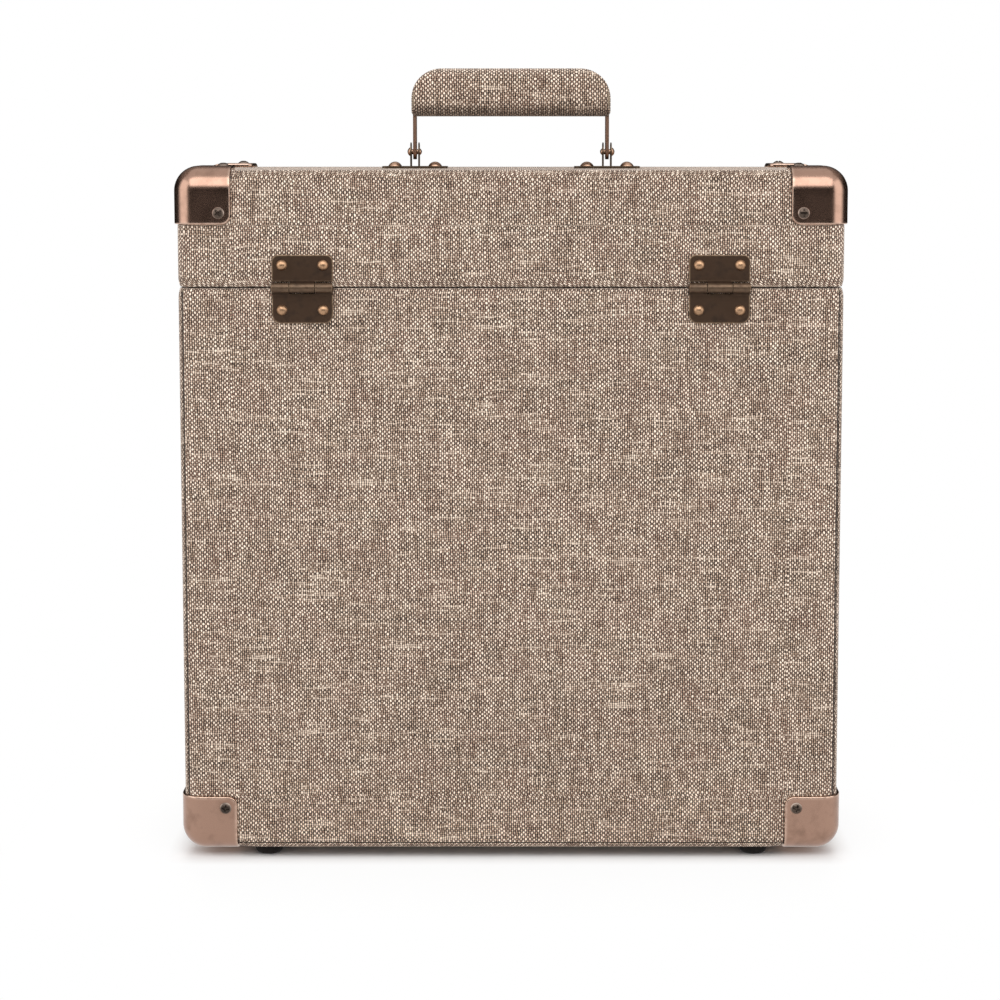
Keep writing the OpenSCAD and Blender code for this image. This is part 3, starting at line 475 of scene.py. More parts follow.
case_cloth = cloth_material("case_tweed", thread=1.17 * MM)
base_walls = wall_patches(-1, SHEET_T)
make_piece("base_cover", "base", case_cloth,
           base_walls + [flat_patch(-1, base_walls[2])], wall=CLOTH_T)
lid_walls = wall_patches(1, 0)
make_piece("lid_cover", "lid", case_cloth,
           lid_walls + [flat_patch(1, lid_walls[2])], wall=CLOTH_T)


# Sheets let into the front and back of the base. Each is a piece of the same tweed, glued into
# the space inside the turned edges, with its own edges rolled down into the groove.
ROLLED = 0.45 * MM
ROLL_SHARES = np.array([0.15, 0.5, 1])
# the sheet ends short of the rim, is thinner than the cover and lies just under its outline
SHEET_SHORT, SHEET_CLOTH_T, BEDDED = 0.35 * MM, 0.5 * MM, 0.02 * MM
# where on the bolt a sheet was cut, so that its threads don't run on from the cover's
CUT_AT = np.array([0.0137, 0.0071])
# painted shade on the sheet's edges where they roll down into the groove
ROLL_SHADE = 0.8


def sheet_patch(side):
    """A grid inside the sheet's outline, laid on the case's skin; its border sinks by the roll's
    quarter circle. The two lower corners are rounded by the same outline: the square outside the
    centre of a corner is pressed into its quarter circle."""
    width = 2 * case_half[0]
    height = cover_high[2] - cover_low[2] - SHEET_LIFT
    x, z = spaced(width), spaced(height, far_edge=False)
    roll = ROLLED * ROLL_SHARES
    x = np.unique(np.concatenate([
        [SHEET_IN], x[(x > SHEET_IN) & (x < width - SHEET_IN)], [width - SHEET_IN],
        SHEET_IN + roll, width - SHEET_IN - roll]))
    z = np.unique(np.concatenate([
        [SHEET_IN], z[z > SHEET_IN], SHEET_IN + roll, [height - SHEET_SHORT]]))
    dx = np.minimum(x, width - x)[None] - (SHEET_IN + SHEET_R)
    dz = z[:, None] - (SHEET_IN + SHEET_R)
    far_out = np.maximum(-dx, -dz)
    press = np.where((dx < 0) & (dz < 0), far_out / np.maximum(np.hypot(dx, dz), 1e-9), 1)
    from_edge = SHEET_IN + SHEET_R + np.where(dx < 0, dx * press, dx)
    far = np.empty((len(z), len(x), 3))
    far[..., 0] = np.where(x[None] < case_half[0], from_edge, width - from_edge) - case_half[0]
    far[..., 1] = side * case_half[1]
    far[..., 2] = SHEET_IN + SHEET_R + np.where(dz < 0, dz * press, dz) + SHEET_LIFT - case_half[2]
    core = wall_core(far)
    skin = meet(far + case_middle, core + case_middle, case_outside)
    inward = (core - far) / np.linalg.norm(core - far, axis=-1, keepdims=True)
    skin = skin + inward * [1, 1, 0] * drawn_in(z, height)[:, None, None]
    from_side = np.where(dx < 0, SHEET_R - np.maximum(-dx, np.where(dz < 0, -dz, 0)), SHEET_R)
    from_foot = np.where(dz < 0, SHEET_R + dz, SHEET_R)
    to_border = np.minimum(np.minimum(from_side, from_foot), (height - SHEET_SHORT - z)[:, None])
    sink = ROLLED - np.sqrt(np.maximum(ROLLED ** 2 - np.maximum(ROLLED - to_border, 0) ** 2, 0))
    skin = skin + inward * (sink + BEDDED)[..., None]
    flat = np.stack([lengths(skin, 1), lengths(skin, 0)], -1) + CUT_AT
    # the rolled edge darkens with painted shade as it sinks into the groove
    return [skin, flat, ROLL_SHADE * sink / ROLLED, False]


for name, side in (("base_back_sheet", -1), ("base_front_sheet", 1)):
    laid = sheet_patch(side)
    sheet = make_piece(name, "base", case_cloth, [laid], wall=SHEET_CLOTH_T)


# Corner fittings: eight ball corners pressed from copper-plated sheet, three flaps each, with
# rolled edges that bed on the cloth. One cross-head screw goes through each flap.
FITTING_OUT = 2.2 * MM
FITTING_R = CORNER_R + FITTING_OUT
FITTING_T = 0.9 * MM
FITTING_ROLL = 0.75 * MM
# how far inside a flap's edge the plating is rubbed, and how far the edge stays off the cloth
FITTING_RUBBED, FITTING_OFF = 1.6 * MM, 0.03 * MM


def ball_corner_patches():
    """The three flaps of a fitting, as distances from the corner of its square box. Each point of
    a square grid is moved to the form's radius round the box drawn in by that radius. Past the
    flap the skin turns down to the cloth, and at the free corner squares become circles."""
    reach = FITTING_REACH + FITTING_OUT
    at = np.concatenate([
        np.linspace(0, FITTING_R, 15), np.linspace(FITTING_R, reach - FLAP_R, 5)[1:],
        np.linspace(reach - FLAP_R, reach - FITTING_ROLL, 7)[1:],
        reach - FITTING_ROLL + FITTING_ROLL * np.sin(QUARTER), [reach, reach]])
    rolled = FITTING_ROLL * (1 - np.cos(QUARTER))
    down = [0.7 * FITTING_OUT, FITTING_OUT - FITTING_OFF]
    deep = np.concatenate([np.zeros(len(at) - len(rolled) - len(down)), rolled, down])
    a, b = np.meshgrid(at, at, indexing="ij")
    depth = np.maximum(*np.meshgrid(deep, deep, indexing="ij"))
    from_edge = reach - np.maximum(a, b)
    x, y = a - (reach - FLAP_R), b - (reach - FLAP_R)
    press = np.where((x > 0) & (y > 0), np.maximum(x, y) / np.maximum(np.hypot(x, y), 1e-9), 1)
    a = np.where(press < 1, reach - FLAP_R + x * press, a)
    b = np.where(press < 1, reach - FLAP_R + y * press, b)
    square = np.stack([a, b, np.zeros_like(a)], -1)
    core = np.maximum(square, FITTING_R)
    out = (square - core) / np.linalg.norm(square - core, axis=-1, keepdims=True)
    skin = core + out * (FITTING_R - depth[..., None])
    wear_and_shade = np.clip(1 - from_edge / FITTING_RUBBED, 0, 1)
    return [(np.roll(skin, k, axis=-1), wear_and_shade) for k in range(3)]


# Worn metal: the plate's own colour goes darker in blotches and stains, brighter where it is
# rubbed, and a fine grain changes its gloss.
GRAIN_OFTEN, RUB_OFTEN = 1400.0, 420.0
metal, given = new_group(
    "worn_plate",
    {"Place": "Vector", "Plate": "Color", "Stain": "Color", "Rubbed": "Color", "Worn": "Float",
     "Gloss low": "Float", "Gloss high": "Float", "Blotches": "Float"},
    {"Color": "Color", "Roughness": "Float", "Height": "Float"})
place = given.outputs["Place"]
blotch = noise(metal, place, given.outputs["Blotches"], 4.0, 0.6)
grain = noise(metal, place, GRAIN_OFTEN, 3.0, 0.6)
stain_share = remap(metal, blotch, 0.5, 0.72, 0.0, 0.85)
stained = blend(metal, stain_share, given.outputs["Plate"], given.outputs["Stain"])
uneven = remap(metal, noise(metal, place, RUB_OFTEN, 3.0), 0.3, 0.55, 0.25, 1.0)
rub = calc(metal, "MULTIPLY", given.outputs["Worn"], uneven, clamp=True)
gloss = remap(metal, blotch, 0.3, 0.7, given.outputs["Gloss low"], given.outputs["Gloss high"])
grain_gloss = calc(metal, "MULTIPLY", calc(metal, "SUBTRACT", grain, 0.5), 0.12)
put(metal, "NodeGroupOutput", {
    "Color": blend(metal, rub, stained, given.outputs["Rubbed"]),
    "Roughness": calc(metal, "ADD", gloss, grain_gloss),
    "Height": calc(metal, "ADD", calc(metal, "MULTIPLY", grain, 0.4), blotch)})


def metal_material(name, plate, stain, rubbed, gloss, metallic=1.0, blotches=90.0, bump=0.06, wear_and_shade_values=True):
    """A plated or patinated metal with this range of gloss and this many blotches per metre.
    Worn pieces carry their wear as a value at each point."""
    made, tree, principled = new_material(name, Metallic=metallic)
    surface = put(tree, "ShaderNodeGroup", {
        "Place": place_of(tree), "Plate": plate, "Stain": stain, "Rubbed": rubbed,
        "Gloss low": gloss[0], "Gloss high": gloss[1], "Blotches": blotches}, node_tree=metal)
    if wear_and_shade_values:
        tree.links.new(wear_and_shade_of(tree), surface.inputs["Worn"])
    tree.links.new(surface.outputs["Color"], principled.inputs["Base Color"])
    tree.links.new(surface.outputs["Roughness"], principled.inputs["Roughness"])
    bump_into(tree, principled, surface.outputs["Height"], bump, 0.2 * MM)
    return made


fitting_copper = metal_material("antique_copper", rgb(0.38, 0.235, 0.175), rgb(0.28, 0.17, 0.125),
                                rgb(0.66, 0.48, 0.38), gloss=(0.19, 0.25))
for level, up in (("base", -1), ("lid", 1)):
    for depth_name, front in (("back", -1), ("front", 1)):
        for side_name, side in (("left", -1), ("right", 1)):
            sides = np.array((side, front, up))
            corner = case_middle + (case_half + FITTING_OUT) * sides
            flaps = [[corner - sides * depths, None, wear_and_shade, False] for depths, wear_and_shade in ball_corner_patches()]
            make_piece(f"corner_{level}_{depth_name}_{side_name}", level,
                       fitting_copper, flaps, wall=FITTING_T, sharp=60)


# Screws of the fittings: one through each flap, 24 in all. Domed steel heads, blackened, with a
# pressed cross recess, each left at the turn at which it drew tight.
HEAD_R, HEAD_H = 3.2 * MM, 1.6 * MM
# the dome ends at this share of the radius, and the rim's upper edge lies a small drop lower
DOME_END, RIM_DROP = 0.985, 0.12 * MM
CROSS_L, CROSS_W, CROSS_DEEP = 1.85 * MM, 0.42 * MM, 0.55
# where a head is rubbed, as a share of its radius, and how wide
HEAD_RUBBED, HEAD_RUB_W = 0.93, 0.5 * MM
SCREW_AT = FITTING_REACH - 6.1 * MM
SCREW_SUNK = 0.05 * MM


def full_turn(count):
    """Equal steps round a circle, in radians."""
    return np.linspace(0, 2 * math.pi, count + 1)[:-1]


def screw_head():
    """A head round the Z axis. Rows go out from the middle over the dome, whose height falls as a
    circle's arc, then down the rim and in under it; the cross is cut where a point lies within
    the arms' length and half width."""
    under = [1.0, 1.0, 0.4, 0]
    out = HEAD_R * np.concatenate([
        np.linspace(0, 0.66, 14), np.linspace(0.7, 0.94, 6), [DOME_END], under])
    turn = full_turn(72)
    ball = (HEAD_R ** 2 + HEAD_H ** 2) / (2 * HEAD_H)
    high = np.sqrt(ball ** 2 - np.minimum(out, HEAD_R * DOME_END) ** 2) - ball + HEAD_H
    high[-4:] = [high[-5] - RIM_DROP, 0, 0, 0]
    x, y = out[:, None] * np.cos(turn), out[:, None] * np.sin(turn)
    arm = np.minimum(np.maximum(np.abs(x) / CROSS_L, np.abs(y) / CROSS_W),
                     np.maximum(np.abs(y) / CROSS_L, np.abs(x) / CROSS_W))
    cut = (1 - smooth(arm, 0.8, 1.15)) * HEAD_H * CROSS_DEEP
    cut[-4:] = 0
    wear_and_shade = 1 - smooth(np.abs(out - HEAD_RUBBED * HEAD_R), 0, HEAD_RUB_W)
    return np.stack([x, y, high[:, None] - cut], -1), wear_and_shade[:, None]


def facing(points, axis, sign, spin=0):
    """Points drawn round +Z, turned by spin about it and then laid on a face that looks along
    the axis, to the side of sign."""
    c, s = math.cos(spin), math.sin(spin)
    x = points[..., 0] * c - points[..., 1] * s
    y = points[..., 0] * s + points[..., 1] * c
    laid = [x, y]
    laid.insert(axis, sign * points[..., 2])
    return np.stack(laid, -1)


screw_black = metal_material("screw_black", rgb(0.10, 0.075, 0.06), rgb(0.04, 0.032, 0.028),
                             rgb(0.40, 0.32, 0.27), gloss=(0.28, 0.4))
head, head_wear = screw_head()
spins = iter(np.random.default_rng(7).uniform(0, math.pi / 2, 24))
for level, up in (("base", -1), ("lid", 1)):
    heads = []
    for side in (-1, 1):
        for front in (-1, 1):
            sides = np.array((side, front, up))
            for axis in range(3):
                at = case_middle + (case_half - SCREW_AT) * sides
                at[axis] += (SCREW_AT + FITTING_OUT - SCREW_SUNK) * sides[axis]
                laid = facing(head, axis, sides[axis], next(spins)) + at
                heads.append([laid, None, head_wear, True])
    make_piece(f"{level}_corner_screws", level, screw_black, heads, sharp=40)


# Hinges: two aged bronze leaves each, with the knuckles rolled round a pin, and domed copper
# rivets clinched inside the case.
HINGE_W, LEAF_T, LEAF_EDGE = 32 * MM, 1.2 * MM, 0.35 * MM
# corner radii of a leaf: at its free end, and beside the knuckles
UPPER_END_R, LOWER_END_R, LEAF_START_R = 3.5 * MM, 4.7 * MM, 0.5 * MM
# the flat part of a leaf starts this far from the pin's axis
PLATE_START = 3.2 * MM
KNUCKLE_R, KNUCKLE_EDGE = 2.6 * MM, 0.3 * MM
MIDDLE_KNUCKLE, KNUCKLE_GAP = 13 * MM, 0.35 * MM
KNUCKLE_WEAR = [0, 0, 0.4, 0.8, 0.5, 0.2, 0.2, 0.5, 0.8, 0.4, 0, 0]
# the tongue between a knuckle and its leaf: height, middle from the axis, corners and edges
TONGUE_H, TONGUE_AT, TONGUE_R, TONGUE_EDGE = 3.4 * MM, 2.4 * MM, 0.3 * MM, 0.2 * MM
TONGUE_SUNK = 0.02 * MM
PIN_R, PIN_EDGE = 1.2 * MM, 0.25 * MM
RIVET_X, RIVET_Z = 10.8 * MM, 11.8 * MM
RIVET_D, RIVET_RISE, SHANK_D = 5.7 * MM, 0.33, 2.4 * MM
TAIL_D, TAIL_T, TAIL_EDGE = 4.6 * MM, 0.8 * MM, 0.3 * MM
# a plate has two rings of points on each face, this far inside its rounded edge; wear is none on
# the faces and most on the edge
RING_OUTER, RING_INNER = 0.5 * MM, 1.6 * MM
SLAB_WEAR = np.array([0, 0, 0, 0.35, 0.8, 1, 1, 1, 1, 0.8, 0.35, 0, 0, 0])


def turned(profile, axis, sign, at, wear_and_shade=None):
    """A body of revolution: the profile's pairs of radius and height, carried round the axis and
    set at a point. Pairs of radius 0 close its ends."""
    turn = full_turn(48)
    r, high = np.array(profile).T[..., None]
    ring = np.stack(np.broadcast_arrays(r * np.cos(turn), r * np.sin(turn), high), -1)
    wear_and_shade_values = None if wear_and_shade is None else np.array(wear_and_shade)[:, None]
    return [facing(ring, axis, sign) + at, None, wear_and_shade_values, True]


def rod_profile(r, low, high, edge):
    """Profile of a rod of radius r between two heights, with its two edges rounded."""
    turn = np.radians(np.linspace(0, 90, 5))
    lower = [(r - edge + edge * math.sin(t), low + edge - edge * math.cos(t)) for t in turn]
    upper = [(r - edge + edge * math.cos(t), high - edge + edge * math.sin(t)) for t in turn]
    return [(0, low), *lower, *upper, (0, high)]


def rivet_profile():
    """Profile of a rivet: a dome whose height falls as a circle's arc, then its shank through the
    leaf and the wall, and the tail clinched inside."""
    high = RIVET_D * RIVET_RISE
    ball = (RIVET_D ** 2 / 4 + high ** 2) / (2 * high)
    out = np.linspace(0, RIVET_D / 2, 12)
    dome = [(r, LEAF_T + math.sqrt(ball ** 2 - r ** 2) - ball + high) for r in out]
    shank = [(SHANK_D / 2, LEAF_T), (SHANK_D / 2, -WALL)]
    tail = [(TAIL_D / 2 - TAIL_EDGE, -WALL), (TAIL_D / 2, -WALL - TAIL_EDGE),
            (TAIL_D / 2 - TAIL_EDGE, -WALL - TAIL_T), (0, -WALL - TAIL_T)]
    return dome + shank + tail


def outline_rect(w, h, radii, inset):
    """A rectangle's outline round its middle, drawn in by inset, its corners rounded by radii,
    from the lower left one and against the clock."""
    points = []
    for (sx, sy), r, start in zip(((-1, -1), (1, -1), (1, 1), (-1, 1)), radii, (180, 270, 0, 90)):
        r = max(r - inset, 0.01 * MM)
        turn = np.radians(np.linspace(start, start + 90, 9))
        centre = np.array([sx * (w / 2 - inset - r), sy * (h / 2 - inset - r)])
        points.append(centre + r * np.stack([np.cos(turn), np.sin(turn)], -1))
    return np.concatenate(points)


def slab(w, h, radii, edge, rubbed=True):
    """A plate of the leaf's thickness, closed above and below at its middle, with both edges
    rounded: its outline is drawn in by edge minus the circle's width while the height follows the
    circle."""
    turn = np.radians([0, 30, 60, 90])
    half = min(w, h) / 2
    insets = [min(edge + RING_INNER, 0.85 * half), min(edge + RING_OUTER, 0.7 * half)]
    insets += [edge * (1 - math.sin(t)) for t in turn]
    heights = [0, 0] + [edge * (1 - math.cos(t)) for t in turn]
    insets, heights = insets + insets[::-1], heights + [LEAF_T - z for z in heights[::-1]]
    rows = []
    for inset, z in zip(insets, heights):
        outline = outline_rect(w, h, radii, inset)
        rows.append(np.concatenate([outline, np.full((len(outline), 1), z)], -1))
    foot, top = (np.broadcast_to([0, 0, z], rows[0].shape) for z in (0, LEAF_T))
    wear_and_shade = SLAB_WEAR[:, None] if rubbed else None
    return [np.stack([foot, *rows, top]), None, wear_and_shade, True]


def laid_on_back(patch, at):
    """A patch drawn round +Z, laid on the hinged side of the case and set at a point."""
    return [facing(patch[0], 1, -1) + at, *patch[1:]]


def leaf_patches(axis_at, up, tall):
    """One leaf with the knuckles that belong to it, below or above the pin's axis: the middle
    one for the upper leaf, the outer two for the lower."""
    end_r = UPPER_END_R if up > 0 else LOWER_END_R
    start, end = (LEAF_START_R, LEAF_START_R), (end_r, end_r)
    plate = slab(HINGE_W, tall, (*start, *end) if up > 0 else (*end, *start), LEAF_EDGE)
    made = [laid_on_back(plate, (axis_at[0], case_low[1], axis_at[2] + up * (PLATE_START + tall / 2)))]
    inner, outer = MIDDLE_KNUCKLE / 2, HINGE_W / 2
    spans = [(-inner, inner)]
    if up < 0:
        spans = [(-outer, -inner - KNUCKLE_GAP), (inner + KNUCKLE_GAP, outer)]
    for x0, x1 in spans:
        rod = rod_profile(KNUCKLE_R, x0, x1, KNUCKLE_EDGE)
        made.append(turned(rod, 0, 1, axis_at, wear_and_shade=KNUCKLE_WEAR))
        tongue = slab(x1 - x0, TONGUE_H, (TONGUE_R,) * 4, TONGUE_EDGE, rubbed=False)
        made.append(laid_on_back(tongue, (axis_at[0] + (x0 + x1) / 2, case_low[1] - TONGUE_SUNK,
                                          axis_at[2] + up * TONGUE_AT)))
    return made


bronze = metal_material("aged_bronze", rgb(0.075, 0.043, 0.026), rgb(0.035, 0.021, 0.014),
                        rgb(0.34, 0.235, 0.15), gloss=(0.34, 0.48), metallic=0.75, blotches=150.0, bump=0.12)
rivet_copper = metal_material("rivet_copper", rgb(0.46, 0.28, 0.165), rgb(0.20, 0.12, 0.075),
                              rgb(0.8, 0.6, 0.42), gloss=(0.34, 0.46), blotches=420.0)
rivets = {"base": [], "lid": []}
for side_name in ("left", "right"):
    pin_low, pin_high = (np.array(c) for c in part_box(f"hinge_{side_name}_pin"))
    axis_at = (pin_low + pin_high) / 2
    for leaf, up, body in (("lower", -1, "base"), ("upper", 1, "lid")):
        name = f"hinge_{side_name}_{leaf}_leaf"
        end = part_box(name)[1 if up > 0 else 0][2]
        tall = abs(end - axis_at[2]) - PLATE_START
        make_piece(name, body, bronze, leaf_patches(axis_at, up, tall), sharp=50)
        for x in (-1, 1):
            at = (axis_at[0] + x * RIVET_X, case_low[1], axis_at[2] + up * RIVET_Z)
            rivets[body].append(turned(rivet_profile(), 1, -1, at))
    rod = rod_profile(PIN_R, pin_low[0] - axis_at[0], pin_high[0] - axis_at[0], PIN_EDGE)
    pin = turned(rod, 0, 1, axis_at)
    make_piece(f"hinge_{side_name}_pin", "base", bronze, [pin])
for body, made in rivets.items():
    make_piece(f"{body}_hinge_rivets", body, rivet_copper, made, sharp=50)


# Handle: a steel bow under copper plate, moulded into a firm grip that is wrapped in tweed and
# glued along its underside. It turns on pins between the ears of two riveted brackets.
GRIP_SIDE_R, GRIP_TOP_R, GRIP_END_R = 8 * MM, 17 * MM, 2.8 * MM
# how deep under the faces the lines start that are followed out to the cloth
GRIP_SKELETON = np.array([12.7, 10.2, 12.7]) * MM
# the stretch at both ends of a long face where grid lines lie close together
GRIP_FINE = 18 * MM
# painted shade darkens the underside, up to this height
GRIP_SHADE, GRIP_SHADE_H = 0.55, 9 * MM
grip_low, grip_high = (np.array(c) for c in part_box("grip_cover"))
grip_middle, grip_half = (grip_low + grip_high) / 2, (grip_high - grip_low) / 2


def grip_outside(p):
    """How far points lie outside the grip: its outline has large upper corners and small lower
    ones, and its section and its ends are rounded."""
    inset = grip_half - np.abs(p - grip_middle)
    under_top = np.stack([inset[..., 0], grip_high[2] - p[..., 2]], -1)
    over_foot = np.stack([inset[..., 0], p[..., 2] - grip_low[2]], -1)
    return np.max([
        outside(under_top, GRIP_TOP_R),
        outside(over_foot, GRIP_END_R),
        outside(inset[..., [1, 2]], GRIP_SIDE_R),
        outside(inset[..., [0, 1]], GRIP_END_R * 1.4),
        outside(inset, GRIP_END_R),
    ], axis=0)


def grip_spaced(half):
    """Grid lines over a face of the grip, close together at the ends of a long one."""
    if half < GRIP_FINE:
        return np.linspace(0, 2 * half, 27)
    fine = np.linspace(0, GRIP_FINE, 19)
    middle = np.linspace(GRIP_FINE, 2 * half - GRIP_FINE, 26)
    return np.unique(np.concatenate([fine, middle, 2 * half - fine]))


def grip_patches():
    """The six faces of a box round the grip, drawn in along lines from its core to its form."""
    patches = []
    for axis in range(3):
        i, j = [k for k in range(3) if k != axis]
        along_i, along_j = grip_spaced(grip_half[i]), grip_spaced(grip_half[j])
        for sign in (-1, 1):
            far = np.empty((len(along_i), len(along_j), 3))
            far[..., axis] = sign * grip_half[axis]
            far[..., i] = (along_i - grip_half[i])[:, None]
            far[..., j] = (along_j - grip_half[j])[None]
            core = np.clip(far, -(grip_half - GRIP_SKELETON), grip_half - GRIP_SKELETON)
            skin = meet(far + grip_middle, core + grip_middle, grip_outside)
            u, v = lengths(skin, 0), lengths(skin, 1)
            u, v = u - u[len(u) // 2], v - v[:, len(v[0]) // 2, None]
            flat = np.stack([v, u] if axis == 0 else [u, v], -1)
            # painted shade, darker towards the underside
            painted_shade = GRIP_SHADE * (1 - smooth(skin[..., 2] - grip_low[2], 0, GRIP_SHADE_H))
            patches.append([skin, flat, painted_shade, False])
    return patches


grip_cloth = cloth_material("grip_tweed", thread=1.25 * MM)
grip = make_piece("grip_cover", "handle", grip_cloth, grip_patches(), sharp=80)


# Boards, linings and guide strips: bare fibreboard, dark embossed paper and paper-covered strips,
# glued in place. They and the grip's moulded core keep the shapes that they have in the frame.
def give(material, *names):
    """Puts a material on nodes of the frame."""
    for name in names:
        nodes[name].data.materials.clear()
        nodes[name].data.materials.append(material)


# how often clouds of a deeper tone come, per metre, and the tone as a share of the colour
CLOUDS_OFTEN, DEEPER = 35.0, 0.6


def speckled_material(name, base, fleck, scale, roughness, bump, specular=0.4):
    """Two tones in a fibrous noise, with clouds in which the colour is deeper."""
    made, tree, principled = new_material(name, Roughness=roughness, Specular_IOR_Level=specular)
    place = place_of(tree)
    fibres = noise(tree, place, scale, 5.0, 0.65)
    clouds = noise(tree, place, CLOUDS_OFTEN, 2.0)
    mixed = blend(tree, remap(tree, fibres, 0.4, 0.65), base, fleck)
    deeper = rgb(*(DEEPER * c for c in base[:3]))
    shade = blend(tree, remap(tree, clouds, 0.3, 0.7, 0.0, 0.35), mixed, deeper)
    tree.links.new(shade, principled.inputs["Base Color"])
    bump_into(tree, principled, fibres, bump, 0.2 * MM)
    return made


board = speckled_material("grey_board", rgb(0.26, 0.20, 0.14), rgb(0.36, 0.29, 0.21),
                          scale=700.0, roughness=0.85, bump=0.3)
lining = speckled_material("lining_paper", rgb(0.030, 0.024, 0.021), rgb(0.055, 0.045, 0.038),
                           scale=900.0, roughness=0.7, bump=0.25)
strip = speckled_material("strip_paper", rgb(0.024, 0.020, 0.018), rgb(0.045, 0.037, 0.032),
                          scale=900.0, roughness=0.55, bump=0.2)
give(board, *[n for n in nodes if n.endswith("_panel")], "grip_core")
give(lining, "base_lining", "lid_lining")
give(strip, "rim_strips")


# Small metal and rubber pieces: the handle's brackets, strap and pins, the hasps with their
# plates, pins and catches, the rivets and the feet. Their edges are rounded over, as pressing
# and tumbling leave them.
SHARP_EDGE, LEVEL_WITHIN = 32, 0.4


def softened(name, body, slot, material, width):
    """A copy of a node whose edges sharper than SHARP_EDGE degrees are rounded over by width, once
    faces that lie level within LEVEL_WITHIN degrees are joined."""
    mesh = nodes[name].data.copy()
    clean(mesh, SHARP_EDGE, LEVEL_WITHIN)
    bevel = put_in_place(name, body, material, mesh).modifiers.new("edges", "BEVEL")
    bevel.width, bevel.segments = width, 3
    bevel.limit_method, bevel.angle_limit = "ANGLE", math.radians(SHARP_EDGE)


plate_bronze = metal_material("plate_bronze", rgb(0.12, 0.085, 0.055), rgb(0.05, 0.034, 0.024),
                              rgb(0.34, 0.235, 0.15), gloss=(0.3, 0.42), metallic=0.85, blotches=150.0,
                              wear_and_shade_values=False)
strap_copper = metal_material("strap_copper", rgb(0.34, 0.205, 0.145), rgb(0.22, 0.135, 0.095),
                              rgb(0.8, 0.6, 0.42), gloss=(0.36, 0.5), blotches=200.0, wear_and_shade_values=False)
button_copper = metal_material("button_copper", rgb(0.46, 0.29, 0.20), rgb(0.24, 0.15, 0.10),
                               rgb(0.8, 0.6, 0.42), gloss=(0.26, 0.38), blotches=300.0, wear_and_shade_values=False)
zinc = metal_material("zinc_steel", rgb(0.55, 0.53, 0.50), rgb(0.35, 0.33, 0.31),
                      rgb(0.7, 0.7, 0.68), gloss=(0.3, 0.45), wear_and_shade_values=False)
rubber = speckled_material("foot_rubber", rgb(0.012, 0.010, 0.009), rgb(0.02, 0.017, 0.015),
                           scale=500.0, roughness=0.75, bump=0.2, specular=0.15)
as_plate = ("aged_bronze", plate_bronze, 0.2 * MM)
as_button = ("copper_rivet", button_copper, 0.25 * MM)
for side_name in ("left", "right"):
    for stem, body, look in (("handle_bracket", "lid", as_plate), ("handle_pin", "lid", as_button),
                             ("hasp_plate", "lid", as_plate), ("hasp_pin", "lid", as_plate),
                             ("hasp", f"hasp_{side_name}", as_plate), ("catch", "base", as_plate)):
        softened(f"{stem}_{side_name}", body, *look)
softened("handle_strap", "handle", "copper_strap", strap_copper, 0.3 * MM)
softened("bracket_rivets", "lid", "copper_rivet", button_copper, 0.2 * MM)
softened("catch_rivets", "base", "copper_rivet", button_copper, 0.15 * MM)
softened("hasp_plate_rivets", "lid", "copper_rivet", button_copper, 0.15 * MM)
softened("feet", "base", "foot_rubber", rubber, 0.3 * MM)
softened("foot_screws", "base", "foot_screw", zinc, 0.15 * MM)


# Studio: a white floor that keeps a soft shadow, soft boxes above and beside the camera, and
# dark screens behind the camera and behind the case, which only reflections see.
def stage_mesh(name, points, material):
    """A one-sided sheet of the studio from a grid of points."""
    mesh = bpy.data.meshes.new(name)
    mesh.from_pydata(points.reshape(-1, 3), [], grid_faces(*points.shape[:2]).tolist())
    mesh.materials.append(material)
    made = bpy.data.objects.new(name, mesh)
    bpy.context.scene.collection.objects.link(made)
    return made


# half the floor's width, and how it goes over into the backdrop's white with the distance from
# the case's outline: fast from under the case to FAST_END, then slowly to SLOW_END
FLOOR = 6.0
UNDER, FAST_END, SLOW_END = -1 * MM, 11 * MM, 0.1
FAST_SHARE, SLOW_SHARE, MIRRORED_SHARE = 0.86, 0.14, 0.72
floor_paint, tree, principled = new_material("floor_paint", Roughness=0.9, Specular_IOR_Level=0.1)
principled.inputs["Base Color"].default_value = rgb(0.88, 0.88, 0.88)
ray = put(tree, "ShaderNodeLightPath")
place = put(tree, "ShaderNodeSeparateXYZ", {0: place_of(tree)})
past = []
for k in (0, 1):
    from_middle = calc(tree, "SUBTRACT", place.outputs[k], float(case_middle[k]))
    past.append(calc(tree, "SUBTRACT", calc(tree, "ABSOLUTE", from_middle), float(case_half[k])))
squares = [calc(tree, "POWER", calc(tree, "MAXIMUM", d, 0.0), 2.0) for d in past]
beside = calc(tree, "SQRT", calc(tree, "ADD", *squares))
under = calc(tree, "MINIMUM", calc(tree, "MAXIMUM", *past), 0.0)
from_case = calc(tree, "ADD", beside, under)
near = remap(tree, from_case, UNDER, FAST_END, 0.0, FAST_SHARE)
far = remap(tree, from_case, FAST_END, SLOW_END, 0.0, SLOW_SHARE)
straight = calc(tree, "MULTIPLY", ray.outputs["Is Camera Ray"], calc(tree, "ADD", near, far))
mirrored = calc(tree, "MULTIPLY", ray.outputs["Is Glossy Ray"], MIRRORED_SHARE)
seen = calc(tree, "MAXIMUM", straight, mirrored)
white = put(tree, "ShaderNodeEmission", {"Color": rgb(1, 1, 1), "Strength": 1.0})
mixed = put(tree, "ShaderNodeMixShader", {0: seen, 1: principled.outputs[0], 2: white.outputs[0]})
tree.links.new(mixed.outputs[0], tree.nodes["Material Output"].inputs["Surface"])
floor_corners = np.array([[[-1, -1, 0], [1, -1, 0]], [[-1, 1, 0], [1, 1, 0]]], float)
stage_mesh("floor", FLOOR * floor_corners, floor_paint)

